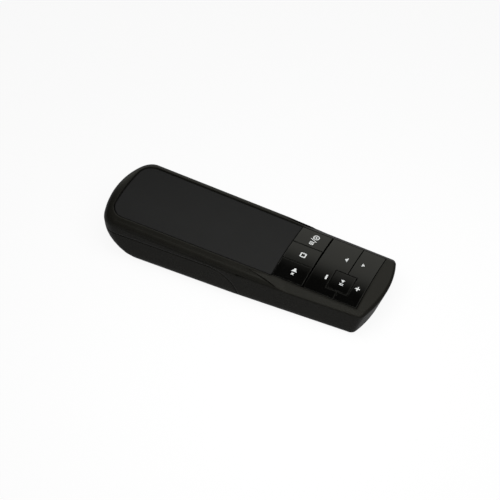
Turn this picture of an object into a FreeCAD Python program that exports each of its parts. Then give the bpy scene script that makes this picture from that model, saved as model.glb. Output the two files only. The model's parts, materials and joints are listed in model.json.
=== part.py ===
import FreeCAD, Part
import Sketcher
import math
import os
import re
from types import SimpleNamespace

# Wireless presentation clicker.
# The object rests on its flat belly at Z = 0 with its front end towards +X.
# The deck, which carries the matte inlay and the keys, slopes down to the front.
# Deck places are measured from the middle of the inlay's front edge: X to the front along the deck,
# Y to the left hand side seen from behind, Z square out of the deck.
# Base places are measured from the floor point under that same origin, level with the floor.

os.makedirs("parts", exist_ok=True)
doc = FreeCAD.newDocument("clicker")
V = FreeCAD.Vector

# Driving sizes, in millimetres and degrees
SIZES = {
    # outer form
    "body_half_width": 20.8,
    "front_half_width": 17.9,
    "rear_reach": 88.5,
    "front_rim_depth": 7.8,
    "taper_start": 18.0,
    "front_bow": 3.6,
    "rear_corner_radius": 9.5,
    "rear_bow_radius": 44.0,
    "belly_radius": 6.0,
    "front_belly_radius": 3.4,
    "stern_length": 22.3,
    "stern_height": 16.0,
    "front_lean": 20.0,
    "deck_tilt": 3.9,
    "crown_radius": 92.0,
    "shoulder_radius": 4.0,
    "rear_shoulder_radius": 6.2,
    "front_corner_radius": 3.0,
    "front_edge_radius": 1.4,
    "crease_radius": 0.5,
    "bevel_slope": 37.0,
    "bevel_fade": 1.3,
    "bevel_fade_back": 10.0,
    "bevel_fade_front": 5.0,
    "front_rim_slope": 8.0,
    "front_rim_land": 0.7,
    # walls and clearances
    "wall": 1.6,
    "deck_wall": 2.9,
    "seam_gap": 0.15,
    "fit": 0.1,
    "running_gap": 0.25,
    "overrun": 30.0,
    # matte inlay
    "inlay_length": 80.9,
    "inlay_half_width": 15.7,
    "inlay_half_width_rear": 16.7,
    "inlay_corner_radius": 6.5,
    "inlay_thickness": 1.0,
    "inlay_sink": 0.35,
    "inlay_gap": 0.3,
    "inlay_bow_radius": 160.0,
    # keys
    "key_half_width": 15.5,
    "row_depth": 14.94,
    "back_row_depth": 14.86,
    "front_row_depth": 10.8,
    "row_gap": 0.6,
    "key_gap": 0.25,
    "centre_key_behind": 5.3,
    "centre_key_ahead": 4.4,
    "centre_key_near": 11.2,
    "centre_key_far": 1.5,
    "key_skirt": 4.9,
    "key_roof": 1.3,
    "key_wall": 1.0,
    "hook_reach": 1.6,
    "hook_thickness": 0.5,
    "plunger_radius": 1.2,
    "press_travel": 0.5,
    "rocker_gap": 0.3,
    "stem_side": 9.3,
    "back_stem_near": 4.66,
    "back_stem_far": 7.46,
    "next_stem_near": 7.0,
    "next_stem_far": 5.7,
    "key_edge": 0.2,
    "flange_reach": 0.7,
    "flange_thickness": 0.6,
    "flange_room": 0.45,
    # rocker pivot
    "axle_radius": 0.6,
    "axle_offset": 1.3,
    "axle_clearance": 0.04,
    "axle_depth": 4.0,
    "ear_thickness": 1.3,
    "ear_radius": 1.2,
    "lug_thickness": 1.2,
    # key carrier, mat, board
    "carrier_depth": 5.6,
    "carrier_thickness": 1.0,
    "carrier_half_width": 14.4,
    "carrier_back": 8.5,
    "carrier_ahead": 0.8,
    "carrier_tab": 1.6,
    "carrier_tab_half_width": 6.0,
    "mat_back": 2.6,
    "mat_short": 1.4,
    "mat_half_width": 12.8,
    "mat_rim": 0.5,
    "mat_thickness": 0.6,
    "nub_radius": 1.3,
    "dome_radius": 1.8,
    "dome_height": 0.25,
    "board_thickness": 1.0,
    "board_half_width": 12.8,
    "board_back": 56.0,
    "board_short": 1.2,
    "board_room": 0.21,
    "board_boss_back": 50.0,
    "board_boss_front": 6.0,
    "board_boss_side": 9.6,
    # batteries and their bay
    "cell_radius": 5.25,
    "cell_length": 43.3,
    "cell_tip_radius": 1.9,
    "cell_tip_length": 1.2,
    "cell_spacing": 5.6,
    "cell_clearance": 0.3,
    "cell_back": 69.5,
    "tray_wall": 1.1,
    "tray_roof": 0.8,
    "tray_half_width": 12.4,
    "tray_foot": 1.5,
    "contact_thickness": 0.3,
    "contact_room": 2.2,
    "contact_half_width": 4.2,
    "contact_margin": 0.4,
    "contact_height": 7.4,
    "tray_boss_back": 61.5,
    "tray_boss_side": 9.8,
    # seam of the battery cover
    "seam_height": 16.4,
    "seam_front": 15.3,
    "seam_bend": 14.0,
    "tongue_half_width": 2.2,
    "tongue_reach": 2.6,
    "tongue_thickness": 1.0,
    "grip_pitch": 2.4,
    "grip_width": 1.0,
    "grip_depth": 0.4,
    "grip_half_length": 6.0,
    "grip_place": 24.0,
    "arrow_place": 27.0,
    "arrow_length": 4.2,
    "arrow_half_width": 3.0,
    # base cover
    "hatch_back": 10.0,
    "hatch_set_back": 15.4,
    "hatch_half_width": 11.8,
    "hatch_ledge": 1.4,
    "hatch_flange": 0.9,
    "hatch_plug": 1.1,
    # receiver
    "receiver_half_width": 7.6,
    "receiver_height": 5.2,
    "receiver_depth": 3.7,
    "receiver_head": 6.6,
    "receiver_sink": 1.6,
    "plug_half_width": 6.0,
    "plug_height": 4.5,
    "plug_length": 12.0,
    "plug_sheet": 0.3,
    "plug_tongue": 1.9,
    "plug_window": 2.4,
    "plug_window_side": 2.6,
    "plug_window_place": 5.4,
    "pocket_wall": 0.9,
    # laser
    "laser_room": 0.74,
    "laser_radius": 2.5,
    "laser_set_back": 10.4,
    "laser_length": 15.0,
    "laser_bore": 1.8,
    "laser_recess": 4.0,
    "laser_lens_thickness": 1.0,
    "window_radius": 2.2,
    "window_lip": 0.8,
    "cradle_half_width": 3.8,
    "cradle_length": 8.0,
    "cradle_behind": 1.5,
    # power switch
    "switch_place": 4.0,
    "switch_travel": 2.5,
    "knob_half_length": 2.6,
    "knob_half_width": 1.9,
    "knob_sink": 0.4,
    "knob_ridge": 0.3,
    "switch_half_length": 6.5,
    "switch_half_width": 3.6,
    "switch_case": 3.2,
    "stem_half_length": 1.0,
    "stem_half_width": 0.8,
    # fasteners
    "screw_radius": 1.0,
    "screw_head_radius": 1.8,
    "screw_head": 1.1,
    "screw_length": 4.6,
    "small_screw_radius": 0.8,
    "small_screw_head_radius": 1.3,
    "small_screw_head": 0.8,
    "small_screw_length": 4.8,
    "driver_width": 0.5,
    "driver_depth": 0.4,
    "boss_wall": 1.1,
    "hatch_screw_place": 3.6,
    "hatch_screw_side": 8.0,
    # chips on the board
    "chip_size": 7.0,
    "chip_height": 1.0,
    "radio_length": 12.0,
    "radio_width": 10.0,
    "radio_height": 1.6,
    "crystal_length": 3.2,
    "crystal_width": 1.5,
    "crystal_height": 0.8,
}

# Sizes that follow from the driving ones, each as a rule; those of the keys are deck places
DERIVED = {
    "rocker_split": "row_depth + back_row_depth",
    "key_field": "rocker_split + front_row_depth",
    "front_reach": "key_field + front_rim_depth",
    "centre_key_back": "rocker_split - centre_key_behind",
    "centre_key_front": "rocker_split + centre_key_ahead",
    "carrier_front": "key_field + carrier_ahead",
    "mat_front": "key_field - mat_short",
    "board_front": "key_field - board_short",
    "hatch_front": "front_reach - hatch_set_back",
    "hatch_top": "hatch_flange + hatch_plug",
    "mat_top": "carrier_depth + carrier_thickness",
    "mat_bottom": "mat_top + mat_thickness",
    "board_top": "mat_bottom + dome_height",
    "board_bottom": "board_top + board_thickness",
    "tray_rear": "-cell_back - contact_room",
    "tray_front": "-cell_back + cell_length + cell_tip_length + contact_room",
    "cell_height": "wall + cell_clearance + cell_radius",
    "tray_ceiling": "wall + 2 * cell_clearance + 2 * cell_radius",
    "tray_top": "tray_ceiling + tray_roof",
    "deck_height": "tray_top + board_room + board_bottom / cos(deck_tilt)"
                   " + (tray_front + tray_wall) * tan(deck_tilt)",
    "laser_front": "front_reach - laser_set_back",
    "laser_back": "laser_front - laser_length",
    "laser_height": "deck_height - laser_front * tan(deck_tilt) - board_bottom / cos(deck_tilt)"
                    " - laser_radius - laser_room",
    "cradle_place": "laser_back - cradle_behind",
}

sheet = doc.addObject("Spreadsheet::Sheet", "Sizes")
for row, (alias, value) in enumerate(SIZES.items(), start=1):
    sheet.set("A%d" % row, alias)
    sheet.set("B%d" % row, str(value))
    sheet.setAlias("B%d" % row, alias)
doc.recompute()


def in_sheet(rule):
    """The rule with every alias in it written as a cell of the sheet, and derived sizes as their rules."""
    def cell(word):
        if word[0] in DERIVED:
            return "(" + in_sheet(DERIVED[word[0]]) + ")"
        return "Sizes." + word[0] if word[0] in SIZES else word[0]
    return re.sub(r"[a-z][a-z_]+", cell, rule)


def worked_out(rule):
    """The number that a rule gives."""
    return float(sheet.evalExpression(in_sheet(rule)))


S = SimpleNamespace(**{name: worked_out(name) for name in [*SIZES, *DERIVED]})


def tie(thing, **rules):
    """Ties properties of an object to the sheet; a double underscore stands for a dot."""
    for name, rule in rules.items():
        thing.setExpression(name.replace("__", "."), in_sheet(rule))
    return thing


# The middle of the whole length lies over the origin
DECK_X = "(rear_reach - front_reach) / 2"


def base_place(x, y, z):
    """Placement rules for a point given in base places."""
    return {"Placement__Base__x": "%s + (%s)" % (DECK_X, x),
            "Placement__Base__y": y,
            "Placement__Base__z": z}


def deck_place(x, y, z):
    """Placement rules for a point given in deck places."""
    return {"Placement__Base__x": "%s + (%s) * cos(deck_tilt) + (%s) * sin(deck_tilt)" % (DECK_X, x, z),
            "Placement__Base__y": y,
            "Placement__Base__z": "deck_height - (%s) * sin(deck_tilt) + (%s) * cos(deck_tilt)" % (x, z)}


def turn(thing, axis, rule):
    """Turns an object about one axis by a rule in degrees."""
    thing.Placement.Rotation = FreeCAD.Rotation(axis, 1)
    tie(thing, Placement__Rotation__Angle=rule)


def box_between(name, x, y, z):
    """A box between two places along each axis, not placed yet."""
    box = doc.addObject("Part::Box", name)
    return tie(box, Length="(%s) - (%s)" % (x[1], x[0]),
               Width="(%s) - (%s)" % (y[1], y[0]),
               Height="(%s) - (%s)" % (z[1], z[0]))


def bar_between(name, radius, ends):
    """A round bar as long as the way between two places, not placed yet."""
    bar = doc.addObject("Part::Cylinder", name)
    return tie(bar, Radius=radius, Height="(%s) - (%s)" % (ends[1], ends[0]))


def block(name, x, y, z):
    """A box in deck places."""
    box = box_between(name, x, y, z)
    turn(box, V(0, 1, 0), "deck_tilt")
    return tie(box, **deck_place(x[0], y[0], z[0]))


def floor_block(name, x, y, z):
    """A box in base places."""
    return tie(box_between(name, x, y, z), **base_place(x[0], y[0], z[0]))


def post(name, radius, x, y, z):
    """A round bar that stands square to the deck, from z[0] up to z[1]."""
    bar = bar_between(name, radius, z)
    turn(bar, V(0, 1, 0), "deck_tilt")
    return tie(bar, **deck_place(x, y, z[0]))


def floor_post(name, radius, x, y, z):
    """A round bar that stands square to the floor, from z[0] up to z[1]."""
    return tie(bar_between(name, radius, z), **base_place(x, y, z[0]))


def rod(name, radius, x, y, z):
    """A round bar along the deck from x[0] to x[1]."""
    bar = bar_between(name, radius, x)
    turn(bar, V(0, 1, 0), "90 + deck_tilt")
    return tie(bar, **deck_place(x[0], y, z))


def floor_rod(name, radius, x, y, z):
    """A round bar level with the floor from x[0] to x[1]."""
    bar = bar_between(name, radius, x)
    turn(bar, V(0, 1, 0), "90")
    return tie(bar, **base_place(x[0], y, z))


def fuse(name, *solids):
    """The solids joined."""
    joined = doc.addObject("Part::MultiFuse", name)
    joined.Shapes = list(solids)
    joined.Refine = True
    return joined


def cut(name, base, *tools):
    """The base with every tool taken away."""
    left = doc.addObject("Part::Cut", name)
    left.Base = base
    left.Tool = tools[0] if len(tools) == 1 else fuse(name + "_tools", *tools)
    left.Refine = True
    return left


def common(name, *solids):
    """What all the solids share."""
    shared = doc.addObject("Part::MultiCommon", name)
    shared.Shapes = list(solids)
    shared.Refine = True
    return shared


def group(name, *solids):
    """Separate solids that share one node."""
    together = doc.addObject("Part::Compound", name)
    together.Links = list(solids)
    return together


def given(name, shape):
    """A form that is computed from the sizes in code."""
    thing = doc.addObject("Part::Feature", name)
    thing.Shape = shape
    return thing


# Outer form of the housing
LEVEL_COUNT = 10
FRONT_SHARES = (1.0, 0.93, 0.86, 0.79, 0.72, 0.65, 0.58, 0.5)


def level(height, inset):
    """Plan outline of the housing at one height above the floor, with every wall moved in by the inset.

    The front end runs on past the object; the leaning front face is cut later."""
    rise = height - inset

    def round_in(radius, reach):
        """How far a quarter round of this height and reach has drawn in at this rise."""
        share = min(rise / radius, 1.0)
        return reach * (1 - math.sqrt(max(0.0, 1 - (1 - share) ** 2)))

    tuck = round_in(S.belly_radius - inset, S.belly_radius - inset)
    front_tuck = round_in(S.front_belly_radius - inset, S.front_belly_radius - inset)
    half = S.body_half_width - inset - tuck
    run = S.taper_start + S.front_reach
    taper = (S.body_half_width - S.front_half_width + front_tuck - tuck) / run
    middle = (S.rear_reach - S.front_reach) / 2
    rear = middle - S.rear_reach + inset + round_in(S.stern_height - inset, S.stern_length - inset)
    front = middle + S.front_reach + S.overrun
    front_half = half - taper * (run + S.overrun)
    corner = S.rear_corner_radius * half / S.body_half_width
    bow = V(rear + S.rear_bow_radius, 0, height)
    side = half - corner
    hub = V(bow.x - math.sqrt((S.rear_bow_radius - corner) ** 2 - side ** 2), side, height)
    outward = (hub - bow).normalize()
    meet = bow + outward * S.rear_bow_radius
    knee = hub + (outward + V(0, 1, 0)).normalize() * corner
    corner_end = V(hub.x, half, height)
    waist = V(middle - S.taper_start, half, height)
    bay = V(front, front_half, height)

    def far(point):
        return V(point.x, -point.y, point.z)

    return Part.Wire([
        Part.Arc(far(meet), V(rear, 0, height), meet).toShape(),
        Part.Arc(meet, knee, corner_end).toShape(),
        Part.LineSegment(corner_end, waist).toShape(),
        Part.LineSegment(waist, bay).toShape(),
        Part.LineSegment(bay, far(bay)).toShape(),
        Part.LineSegment(far(bay), far(waist)).toShape(),
        Part.LineSegment(far(waist), far(corner_end)).toShape(),
        Part.Arc(far(corner_end), far(knee), far(meet)).toShape()])


def front_block(inset):
    """All that lies behind the leaning, bowed front face."""
    tilt = math.radians(S.deck_tilt)
    lean = math.tan(math.radians(S.front_lean))
    rim_drop = (S.front_reach - S.key_field - S.front_rim_land) * math.sin(math.radians(S.front_rim_slope))
    rim_height = S.deck_height - S.front_reach * math.sin(tilt) - rim_drop
    middle = (S.rear_reach - S.front_reach) / 2
    height = S.deck_height + S.stern_height
    front = middle + S.front_reach - rim_height * lean - inset
    back = middle - S.rear_reach - S.overrun - height * lean
    side = S.body_half_width + S.overrun
    bow = (S.front_half_width ** 2 + S.front_bow ** 2) / (2 * S.front_bow)
    edge = front - bow + math.sqrt(bow ** 2 - S.body_half_width ** 2)
    cheek = V(edge, S.body_half_width, 0)
    wire = Part.Wire([
        Part.Arc(cheek, V(front, 0, 0), V(edge, -S.body_half_width, 0)).toShape(),
        Part.makePolygon([V(edge, -S.body_half_width, 0), V(back, -side, 0), V(back, side, 0), cheek])])
    return Part.Face(wire).extrude(V(height * lean, 0, height))


def hull(inset):
    """The housing's bulk from the floor to above the deck."""
    turn_step = math.pi / 2 / LEVEL_COUNT
    round_height = S.stern_height - inset
    heights = [inset + round_height * (1 - math.cos(turn_step * step)) for step in range(LEVEL_COUNT + 1)]
    lower = Part.makeLoft([level(height, inset) for height in heights], True, True)
    ends = [level(heights[-1], inset), level(S.deck_height + S.stern_height, inset)]
    upper = Part.makeLoft(ends, True, True)
    return lower.fuse(upper)


def crown(name, drop):
    """A drum along the deck whose top is the crowned deck, let down by the drop."""
    return rod(name, "crown_radius - (%s)" % drop,
               ("-rear_reach - overrun", "front_reach + overrun"), "0", "-crown_radius")


def front_crown(name):
    """A drum that slopes more, from just before the keys to the front edge."""
    drum = doc.addObject("Part::Cylinder", name)
    slope = "(deck_tilt + front_rim_slope)"
    hinge = "(key_field + front_rim_land)"
    back = "(rear_reach + key_field + overrun)"
    tie(drum, Radius="crown_radius", Height=back + " + front_reach + overrun")
    turn(drum, V(0, 1, 0), "90 + " + slope)
    tie(drum,
        Placement__Base__x="%s + %s * cos(deck_tilt) - crown_radius * sin(%s) - %s * cos(%s)"
        % (DECK_X, hinge, slope, back, slope),
        Placement__Base__z="deck_height - %s * sin(deck_tilt) - crown_radius * cos(%s) + %s * sin(%s)"
        % (hinge, slope, back, slope))
    return drum


def to_deck(point):
    """A point of the object given in deck places."""
    tilt = math.radians(S.deck_tilt)
    along = point.x - (S.rear_reach - S.front_reach) / 2
    above = point.z - S.deck_height
    return V(along * math.cos(tilt) - above * math.sin(tilt), point.y,
             along * math.sin(tilt) + above * math.cos(tilt))


def from_deck(x, y, z):
    """A point in deck places as a point of the object."""
    tilt = math.radians(S.deck_tilt)
    return V((S.rear_reach - S.front_reach) / 2 + x * math.cos(tilt) + z * math.sin(tilt), y,
             S.deck_height - x * math.sin(tilt) + z * math.cos(tilt))


def on_crown(point):
    """Whether a point lies on the crowned deck."""
    place = to_deck(point)
    return abs(math.hypot(place.y, place.z + S.crown_radius) - S.crown_radius) < S.fit / 2


def rounded(name, base, rows):
    """The base with some of its edges rounded, given as numbers with two radii each."""
    fillet = doc.addObject("Part::Fillet", name)
    fillet.Base = base
    fillet.Edges = rows
    return fillet


def bevel_cutter(sign):
    """The wedge beyond the flat bevel beside the keys, which fades into the round shoulder at its rear."""
    slope = math.tan(math.radians(S.bevel_slope))
    foot = S.key_half_width ** 2 / (2 * S.crown_radius)
    inner = S.key_half_width - S.belly_radius
    outer = S.body_half_width + S.belly_radius
    top = S.deck_wall + S.belly_radius

    def section(x, fade):
        """The wedge's outline across the deck."""
        def surface(y):
            return -foot - slope * (y - S.key_half_width - fade)
        corners = [(inner, surface(inner)), (outer, surface(outer)), (outer, top + surface(inner))]
        points = [from_deck(x, sign * y, z) for y, z in corners]
        return Part.makePolygon(points + points[:1])

    wires = [section(-S.bevel_fade_back, S.bevel_fade),
             section(S.bevel_fade_front, 0),
             section(S.front_reach + S.overrun, 0)]
    return Part.makeLoft(wires, True, True)


def shoulder_edges(shape):
    """Numbers, with radii, of the edges where the crowned deck meets the sides and the rear end."""
    def radius(x):
        """The shoulder is fullest at the rear end and fades to a crease beside the keys."""
        if x < -S.inlay_length:
            return S.rear_shoulder_radius
        return S.shoulder_radius if x < 0 else S.crease_radius

    rows = []
    for number, edge in enumerate(shape.Edges, start=1):
        halfway = edge.valueAt((edge.FirstParameter + edge.LastParameter) / 2)
        middle = to_deck(halfway)
        outside = abs(middle.y) > S.front_half_width / 2 or middle.x < -S.inlay_length
        if on_crown(halfway) and outside and middle.x < S.front_reach + S.overrun / 2:
            ends = [radius(to_deck(edge.Vertexes[place].Point).x) for place in (0, -1)]
            # A reversed edge takes its two radii the other way round
            rows.append((number, *(ends if edge.Orientation == "Forward" else reversed(ends))))
    return rows


def front_edges(shape):
    """Numbers, with radii, of the edges all round the leaning front face, which lies under the rim."""
    face = max(shape.Faces, key=lambda side: side.CenterOfMass.x - side.CenterOfMass.z)
    rows = []
    for number, edge in enumerate(shape.Edges, start=1):
        if any(edge.isSame(border) for border in face.Edges):
            upper = min(end.Z for end in edge.Vertexes) > S.deck_height / 2
            rows.append((number, S.front_edge_radius if upper else S.front_corner_radius))
    return rows


def outer_form():
    """The housing as one full solid, with its crown, shoulders, leaning front and bevels."""
    crowned = common("crowned_hull", given("hull_outside", hull(0.0)), crown("crown_outside", "0"))
    doc.recompute()
    shouldered = rounded("shouldered_hull", crowned, shoulder_edges(crowned.Shape))
    fronted = common("fronted_hull", shouldered, given("front_outside", front_block(0.0)),
                     front_crown("front_slope"))
    bevelled = cut("bevelled_hull", fronted, given("near_bevel", bevel_cutter(-1)),
                   given("far_bevel", bevel_cutter(1)))
    doc.recompute()
    # The largest share of the wanted radii that leaves a sound solid
    for share in FRONT_SHARES:
        rows = [(number, share * radius, share * radius) for number, radius in front_edges(bevelled.Shape)]
        form = rounded("outer_form", bevelled, rows)
        doc.recompute()
        if not form.Shape.isNull() and form.Shape.isValid():
            return form
        doc.removeObject(form.Name)
    return bevelled


def inner_form():
    """The hollow inside the housing's walls."""
    return common("inner_form", given("hull_inside", hull(S.wall)), crown("crown_inside", "deck_wall"),
                  given("front_inside", front_block(S.wall)))


# Sketched outlines
def plane(body, role):
    """One of the body's own origin planes."""
    return next(feature for feature in body.Origin.OriginFeatures if feature.Role == role)


def outline(body, name, role, corners, bows, offset):
    """A closed sketch through corners given as rules; bows gives a radius to the sides that are arcs."""
    sketch = body.newObject("Sketcher::SketchObject", name)
    sketch.AttachmentSupport = (plane(body, role), [""])
    sketch.MapMode = "FlatFace"
    tie(sketch, AttachmentOffset__Base__z=offset)
    points = [V(worked_out(x), worked_out(y), 0) for x, y in corners]
    count = len(points)
    ends = []
    for side in range(count):
        start, end = points[side], points[(side + 1) % count]
        line = Part.LineSegment(start, end)
        if side in bows:
            radius = worked_out(bows[side])
            chord = end - start
            rise = radius - math.sqrt(radius ** 2 - (chord.Length / 2) ** 2)
            line = Part.Arc(start, (start + end) / 2 + V(chord.y, -chord.x, 0).normalize() * rise, end)
        number = sketch.addGeometry(line, False)
        first = 1 if (sketch.getPoint(number, 1) - start).Length < S.fit else 2
        ends.append((number, first, 3 - first))
    for side in range(count):
        number, first, last = ends[side]
        after, after_first, _ = ends[(side + 1) % count]
        sketch.addConstraint(Sketcher.Constraint("Coincident", number, last, after, after_first))
        for way, rule, value in zip("XY", corners[side], points[side]):
            row = sketch.addConstraint(Sketcher.Constraint("Distance" + way, -1, 1, number, first, value))
            sketch.setExpression("Constraints[%d]" % row, in_sheet(rule))
        if side in bows:
            radius = worked_out(bows[side])
            row = sketch.addConstraint(Sketcher.Constraint("Radius", number, radius))
            sketch.setExpression("Constraints[%d]" % row, in_sheet(bows[side]))
    return sketch


def pad(name, role, corners, bows, offset, height):
    """A body padded from one outline, not placed yet."""
    body = doc.addObject("PartDesign::Body", name)
    sketch = outline(body, name + "_outline", role, corners, bows, offset)
    raised = body.newObject("PartDesign::Pad", name + "_pad")
    raised.Profile = sketch
    tie(raised, Length=height)
    return body


def slab(name, corners, bows, offset, height):
    """A pad that stands square to the deck."""
    body = pad(name, "XY_Plane", corners, bows, offset, height)
    turn(body, V(0, 1, 0), "deck_tilt")
    return tie(body, **deck_place("0", "0", "0"))


def side_slab(name, corners, bows, offset, height):
    """A pad that runs across the object, from an outline seen from its side."""
    return tie(pad(name, "XZ_Plane", corners, bows, offset, height), **base_place("0", "0", "0"))


def round_upright(body, name, radius, wanted):
    """Rounds the upright edges of a slab whose middle point answers the question."""
    doc.recompute()
    pad = body.Tip
    names = []
    for number, edge in enumerate(pad.Shape.Edges, start=1):
        first, last = edge.Vertexes[0].Point, edge.Vertexes[-1].Point
        upright = abs(first.x - last.x) < S.fit and abs(first.y - last.y) < S.fit
        if upright and wanted((first + last) / 2):
            names.append("Edge%d" % number)
    fillet = body.newObject("PartDesign::Fillet", name)
    fillet.Base = (pad, names)
    tie(fillet, Radius=radius)
    return body


# The matte inlay and its seat
def inlay_slab(name, gap, offset, height):
    """The inlay's outline, grown by a gap, as an upright block."""
    rear = "-inlay_length - (%s)" % gap
    front = "(%s) - fit" % gap
    wide = "inlay_half_width_rear + (%s)" % gap
    slim = "inlay_half_width + (%s)" % gap
    corners = [(rear, wide), (rear, "-(%s)" % wide), (front, "-(%s)" % slim), (front, slim)]
    bows = {0: "inlay_bow_radius"}
    body = slab(name, corners, bows, offset, height)
    return round_upright(body, name + "_corners", "inlay_corner_radius + (%s)" % gap,
                         lambda point: point.x < -S.inlay_length / 2)


def top_panel():
    """Matte inlay that follows the crowned deck."""
    block_form = inlay_slab("inlay_block", "0", "-belly_radius", "belly_radius + overrun")
    layer = cut("inlay_layer", crown("inlay_upper", "inlay_sink"),
                crown("inlay_lower", "inlay_sink + inlay_thickness"))
    return common("top_panel", block_form, layer)


def inlay_seat():
    """What the housing loses so that the inlay drops in."""
    return cut("inlay_seat", inlay_slab("seat_block", "inlay_gap", "-belly_radius", "belly_radius + overrun"),
               crown("seat_floor", "inlay_sink + inlay_thickness"))


# The battery cover's share of the shell
def cover_region(name, grow):
    """Everything below and behind the battery cover's seam, grown by a gap."""
    back = "-rear_reach - overrun"
    top = "seam_height + (%s)" % grow
    front = "-seam_front + (%s)" % grow
    bend = "seam_bend + (%s)" % grow
    corners = [(back, "-overrun"), (front, "-overrun"), (front, "%s - (%s)" % (top, bend)),
               ("%s - (%s)" % (front, bend), top), (back, top)]
    return side_slab(name, corners, {2: bend}, "-overrun", "2 * overrun")


GROOVE_COUNT = 3


def slide_arrow():
    """Three-cornered prism that points to the rear, the way the battery cover slides off."""
    tip = "-seam_front - arrow_place - arrow_length"
    corners = [(tip, "0"), (tip + " + arrow_length", "-arrow_half_width"),
               (tip + " + arrow_length", "arrow_half_width")]
    return tie(pad("slide_arrow", "XY_Plane", corners, {}, "-overrun", "overrun + grip_depth"),
               **base_place("0", "0", "0"))


def battery_cover(shell):
    """Lower rear shell that slides off to the rear, with its tongue, thumb grooves and arrow."""
    floor = "wall + running_gap"
    skin = common("cover_skin", shell, cover_region("cover_space", "0"))
    root = floor_block("tongue_root", ("-seam_front - 2 * tongue_reach", "-seam_front"),
                       ("-tongue_half_width", "tongue_half_width"),
                       ("wall / 2", floor + " + tongue_thickness"))
    tip = floor_block("tongue_tip", ("-seam_front - tongue_reach", "-seam_front + tongue_reach"),
                      ("-tongue_half_width", "tongue_half_width"), (floor, floor + " + tongue_thickness"))
    grooves = []
    for number in range(GROOVE_COUNT):
        start = "-seam_front - grip_place + %d * grip_pitch" % number
        grooves.append(floor_block("thumb_groove", (start, start + " + grip_width"),
                                   ("-grip_half_length", "grip_half_length"), ("-overrun", "grip_depth")))
    return cut("battery_cover", fuse("cover_body", skin, root, tip), slide_arrow(), *grooves)


# The housing
def boss_top(x, y):
    """Height, above the floor, of the middle of the deck wall over a base place."""
    return ("deck_height - (%s) * tan(deck_tilt) - (inlay_sink + inlay_thickness + deck_wall) / 2"
            " - (%s) * (%s) / (2 * crown_radius)" % (x, y, y))


HATCH_SEAT = "(screw_head + fit)"
HATCH_SCREW_TIP = "(screw_head + fit + screw_length)"


def board_screw_places():
    """The four board screws, in deck places, each with the depth at which its boss ends."""
    ends = (("-board_boss_back", "board_top"), ("-board_boss_front", "carrier_depth"))
    return [(x, y, depth) for x, depth in ends for y in ("-board_boss_side", "board_boss_side")]


def tray_screw_places():
    """The two tray screws, in base places."""
    return [("-tray_boss_back", y) for y in ("-tray_boss_side", "tray_boss_side")]


def hatch_screw_places():
    """The two screws of the base cover, in base places."""
    return [("-hatch_back + hatch_screw_place", y) for y in ("-hatch_screw_side", "hatch_screw_side")]


def receiver_space(name, gap, back, front):
    """The receiver's head as a block, grown by a gap."""
    return block(name, (back, front),
                 ("-receiver_half_width - (%s)" % gap, "receiver_half_width + (%s)" % gap),
                 ("-receiver_depth - receiver_height - (%s)" % gap, "-receiver_depth + (%s)" % gap))


def upper_housing(shell, outer):
    """Main shell with its deck, sides, nose, bosses and receiver pocket."""
    open_shell = cut("open_shell", shell, cover_region("cover_room", "seam_gap"))
    pocket_front = "-rear_reach + receiver_sink + receiver_head + plug_length + pocket_wall"
    pocket = common("pocket_tube", outer, receiver_space("pocket_outside", "fit + pocket_wall",
                                                         "-rear_reach", pocket_front))
    bosses = []
    for x, y, bottom in board_screw_places():
        top = "-(inlay_sink + inlay_thickness + deck_wall) / 2 - (%s) * (%s) / (2 * crown_radius)" % (y, y)
        bosses.append(post("board_boss", "small_screw_radius + boss_wall", x, y, ("-" + bottom, top)))
    for x, y in tray_screw_places():
        bosses.append(floor_post("tray_boss", "small_screw_radius + boss_wall", x, y,
                                 ("tray_top", boss_top(x, y))))
    lug_back = "-seam_front + 2 * running_gap"
    for y in ("-hatch_screw_side", "hatch_screw_side"):
        wide = ("%s - screw_radius - boss_wall" % y, "%s + screw_radius + boss_wall" % y)
        bosses.append(floor_block("lug_root", (lug_back, "-hatch_back - running_gap"), wide,
                                  ("wall / 2", "hatch_top + wall")))
        lug_front = "-hatch_back + hatch_screw_place + screw_radius + boss_wall"
        bosses.append(floor_block("lug", (lug_back, lug_front), wide,
                                  ("hatch_top + fit", HATCH_SCREW_TIP + " + wall")))
    rib = block("carrier_rib", ("key_field + 2 * fit", "carrier_front + carrier_tab"),
                ("-carrier_tab_half_width", "carrier_tab_half_width"), ("-carrier_depth", "-deck_wall / 2"))
    full = fuse("housing_body", open_shell, pocket, rib, *bosses)
    key_hole = block("key_hole", ("-key_gap", "key_field + fit"),
                     ("-key_half_width - seam_gap", "key_half_width + seam_gap"),
                     ("-deck_wall - key_skirt", "overrun"))
    slot = receiver_space("receiver_slot", "fit", "-rear_reach - overrun", pocket_front + " - pocket_wall")
    hatch_outer = floor_block("hatch_rebate", ("-hatch_back - fit", "hatch_front + fit"),
                              ("-hatch_half_width - fit", "hatch_half_width + fit"),
                              ("-overrun", "hatch_flange"))
    hatch_inner = floor_block("hatch_hole",
                              ("-hatch_back + hatch_ledge - fit", "hatch_front - hatch_ledge + fit"),
                              ("-hatch_half_width + hatch_ledge - fit",
                               "hatch_half_width - hatch_ledge + fit"),
                              ("-overrun", "hatch_top"))
    window = floor_rod("window_hole", "window_radius + fit", ("0", "front_reach + overrun"), "0",
                       "laser_height")
    holes = []
    for x, y, bottom in board_screw_places():
        holes.append(post("board_thread", "small_screw_radius", x, y,
                          ("-board_bottom", "small_screw_length - board_bottom")))
    for x, y in tray_screw_places():
        holes.append(floor_post("tray_thread", "small_screw_radius", x, y,
                                ("tray_ceiling", "tray_ceiling + small_screw_length")))
    for x, y in hatch_screw_places():
        holes.append(floor_post("hatch_thread", "screw_radius", x, y, ("0", HATCH_SCREW_TIP)))
    return cut("upper_housing", full, inlay_seat(), key_hole, slot, hatch_outer, hatch_inner, window, *holes)


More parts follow.
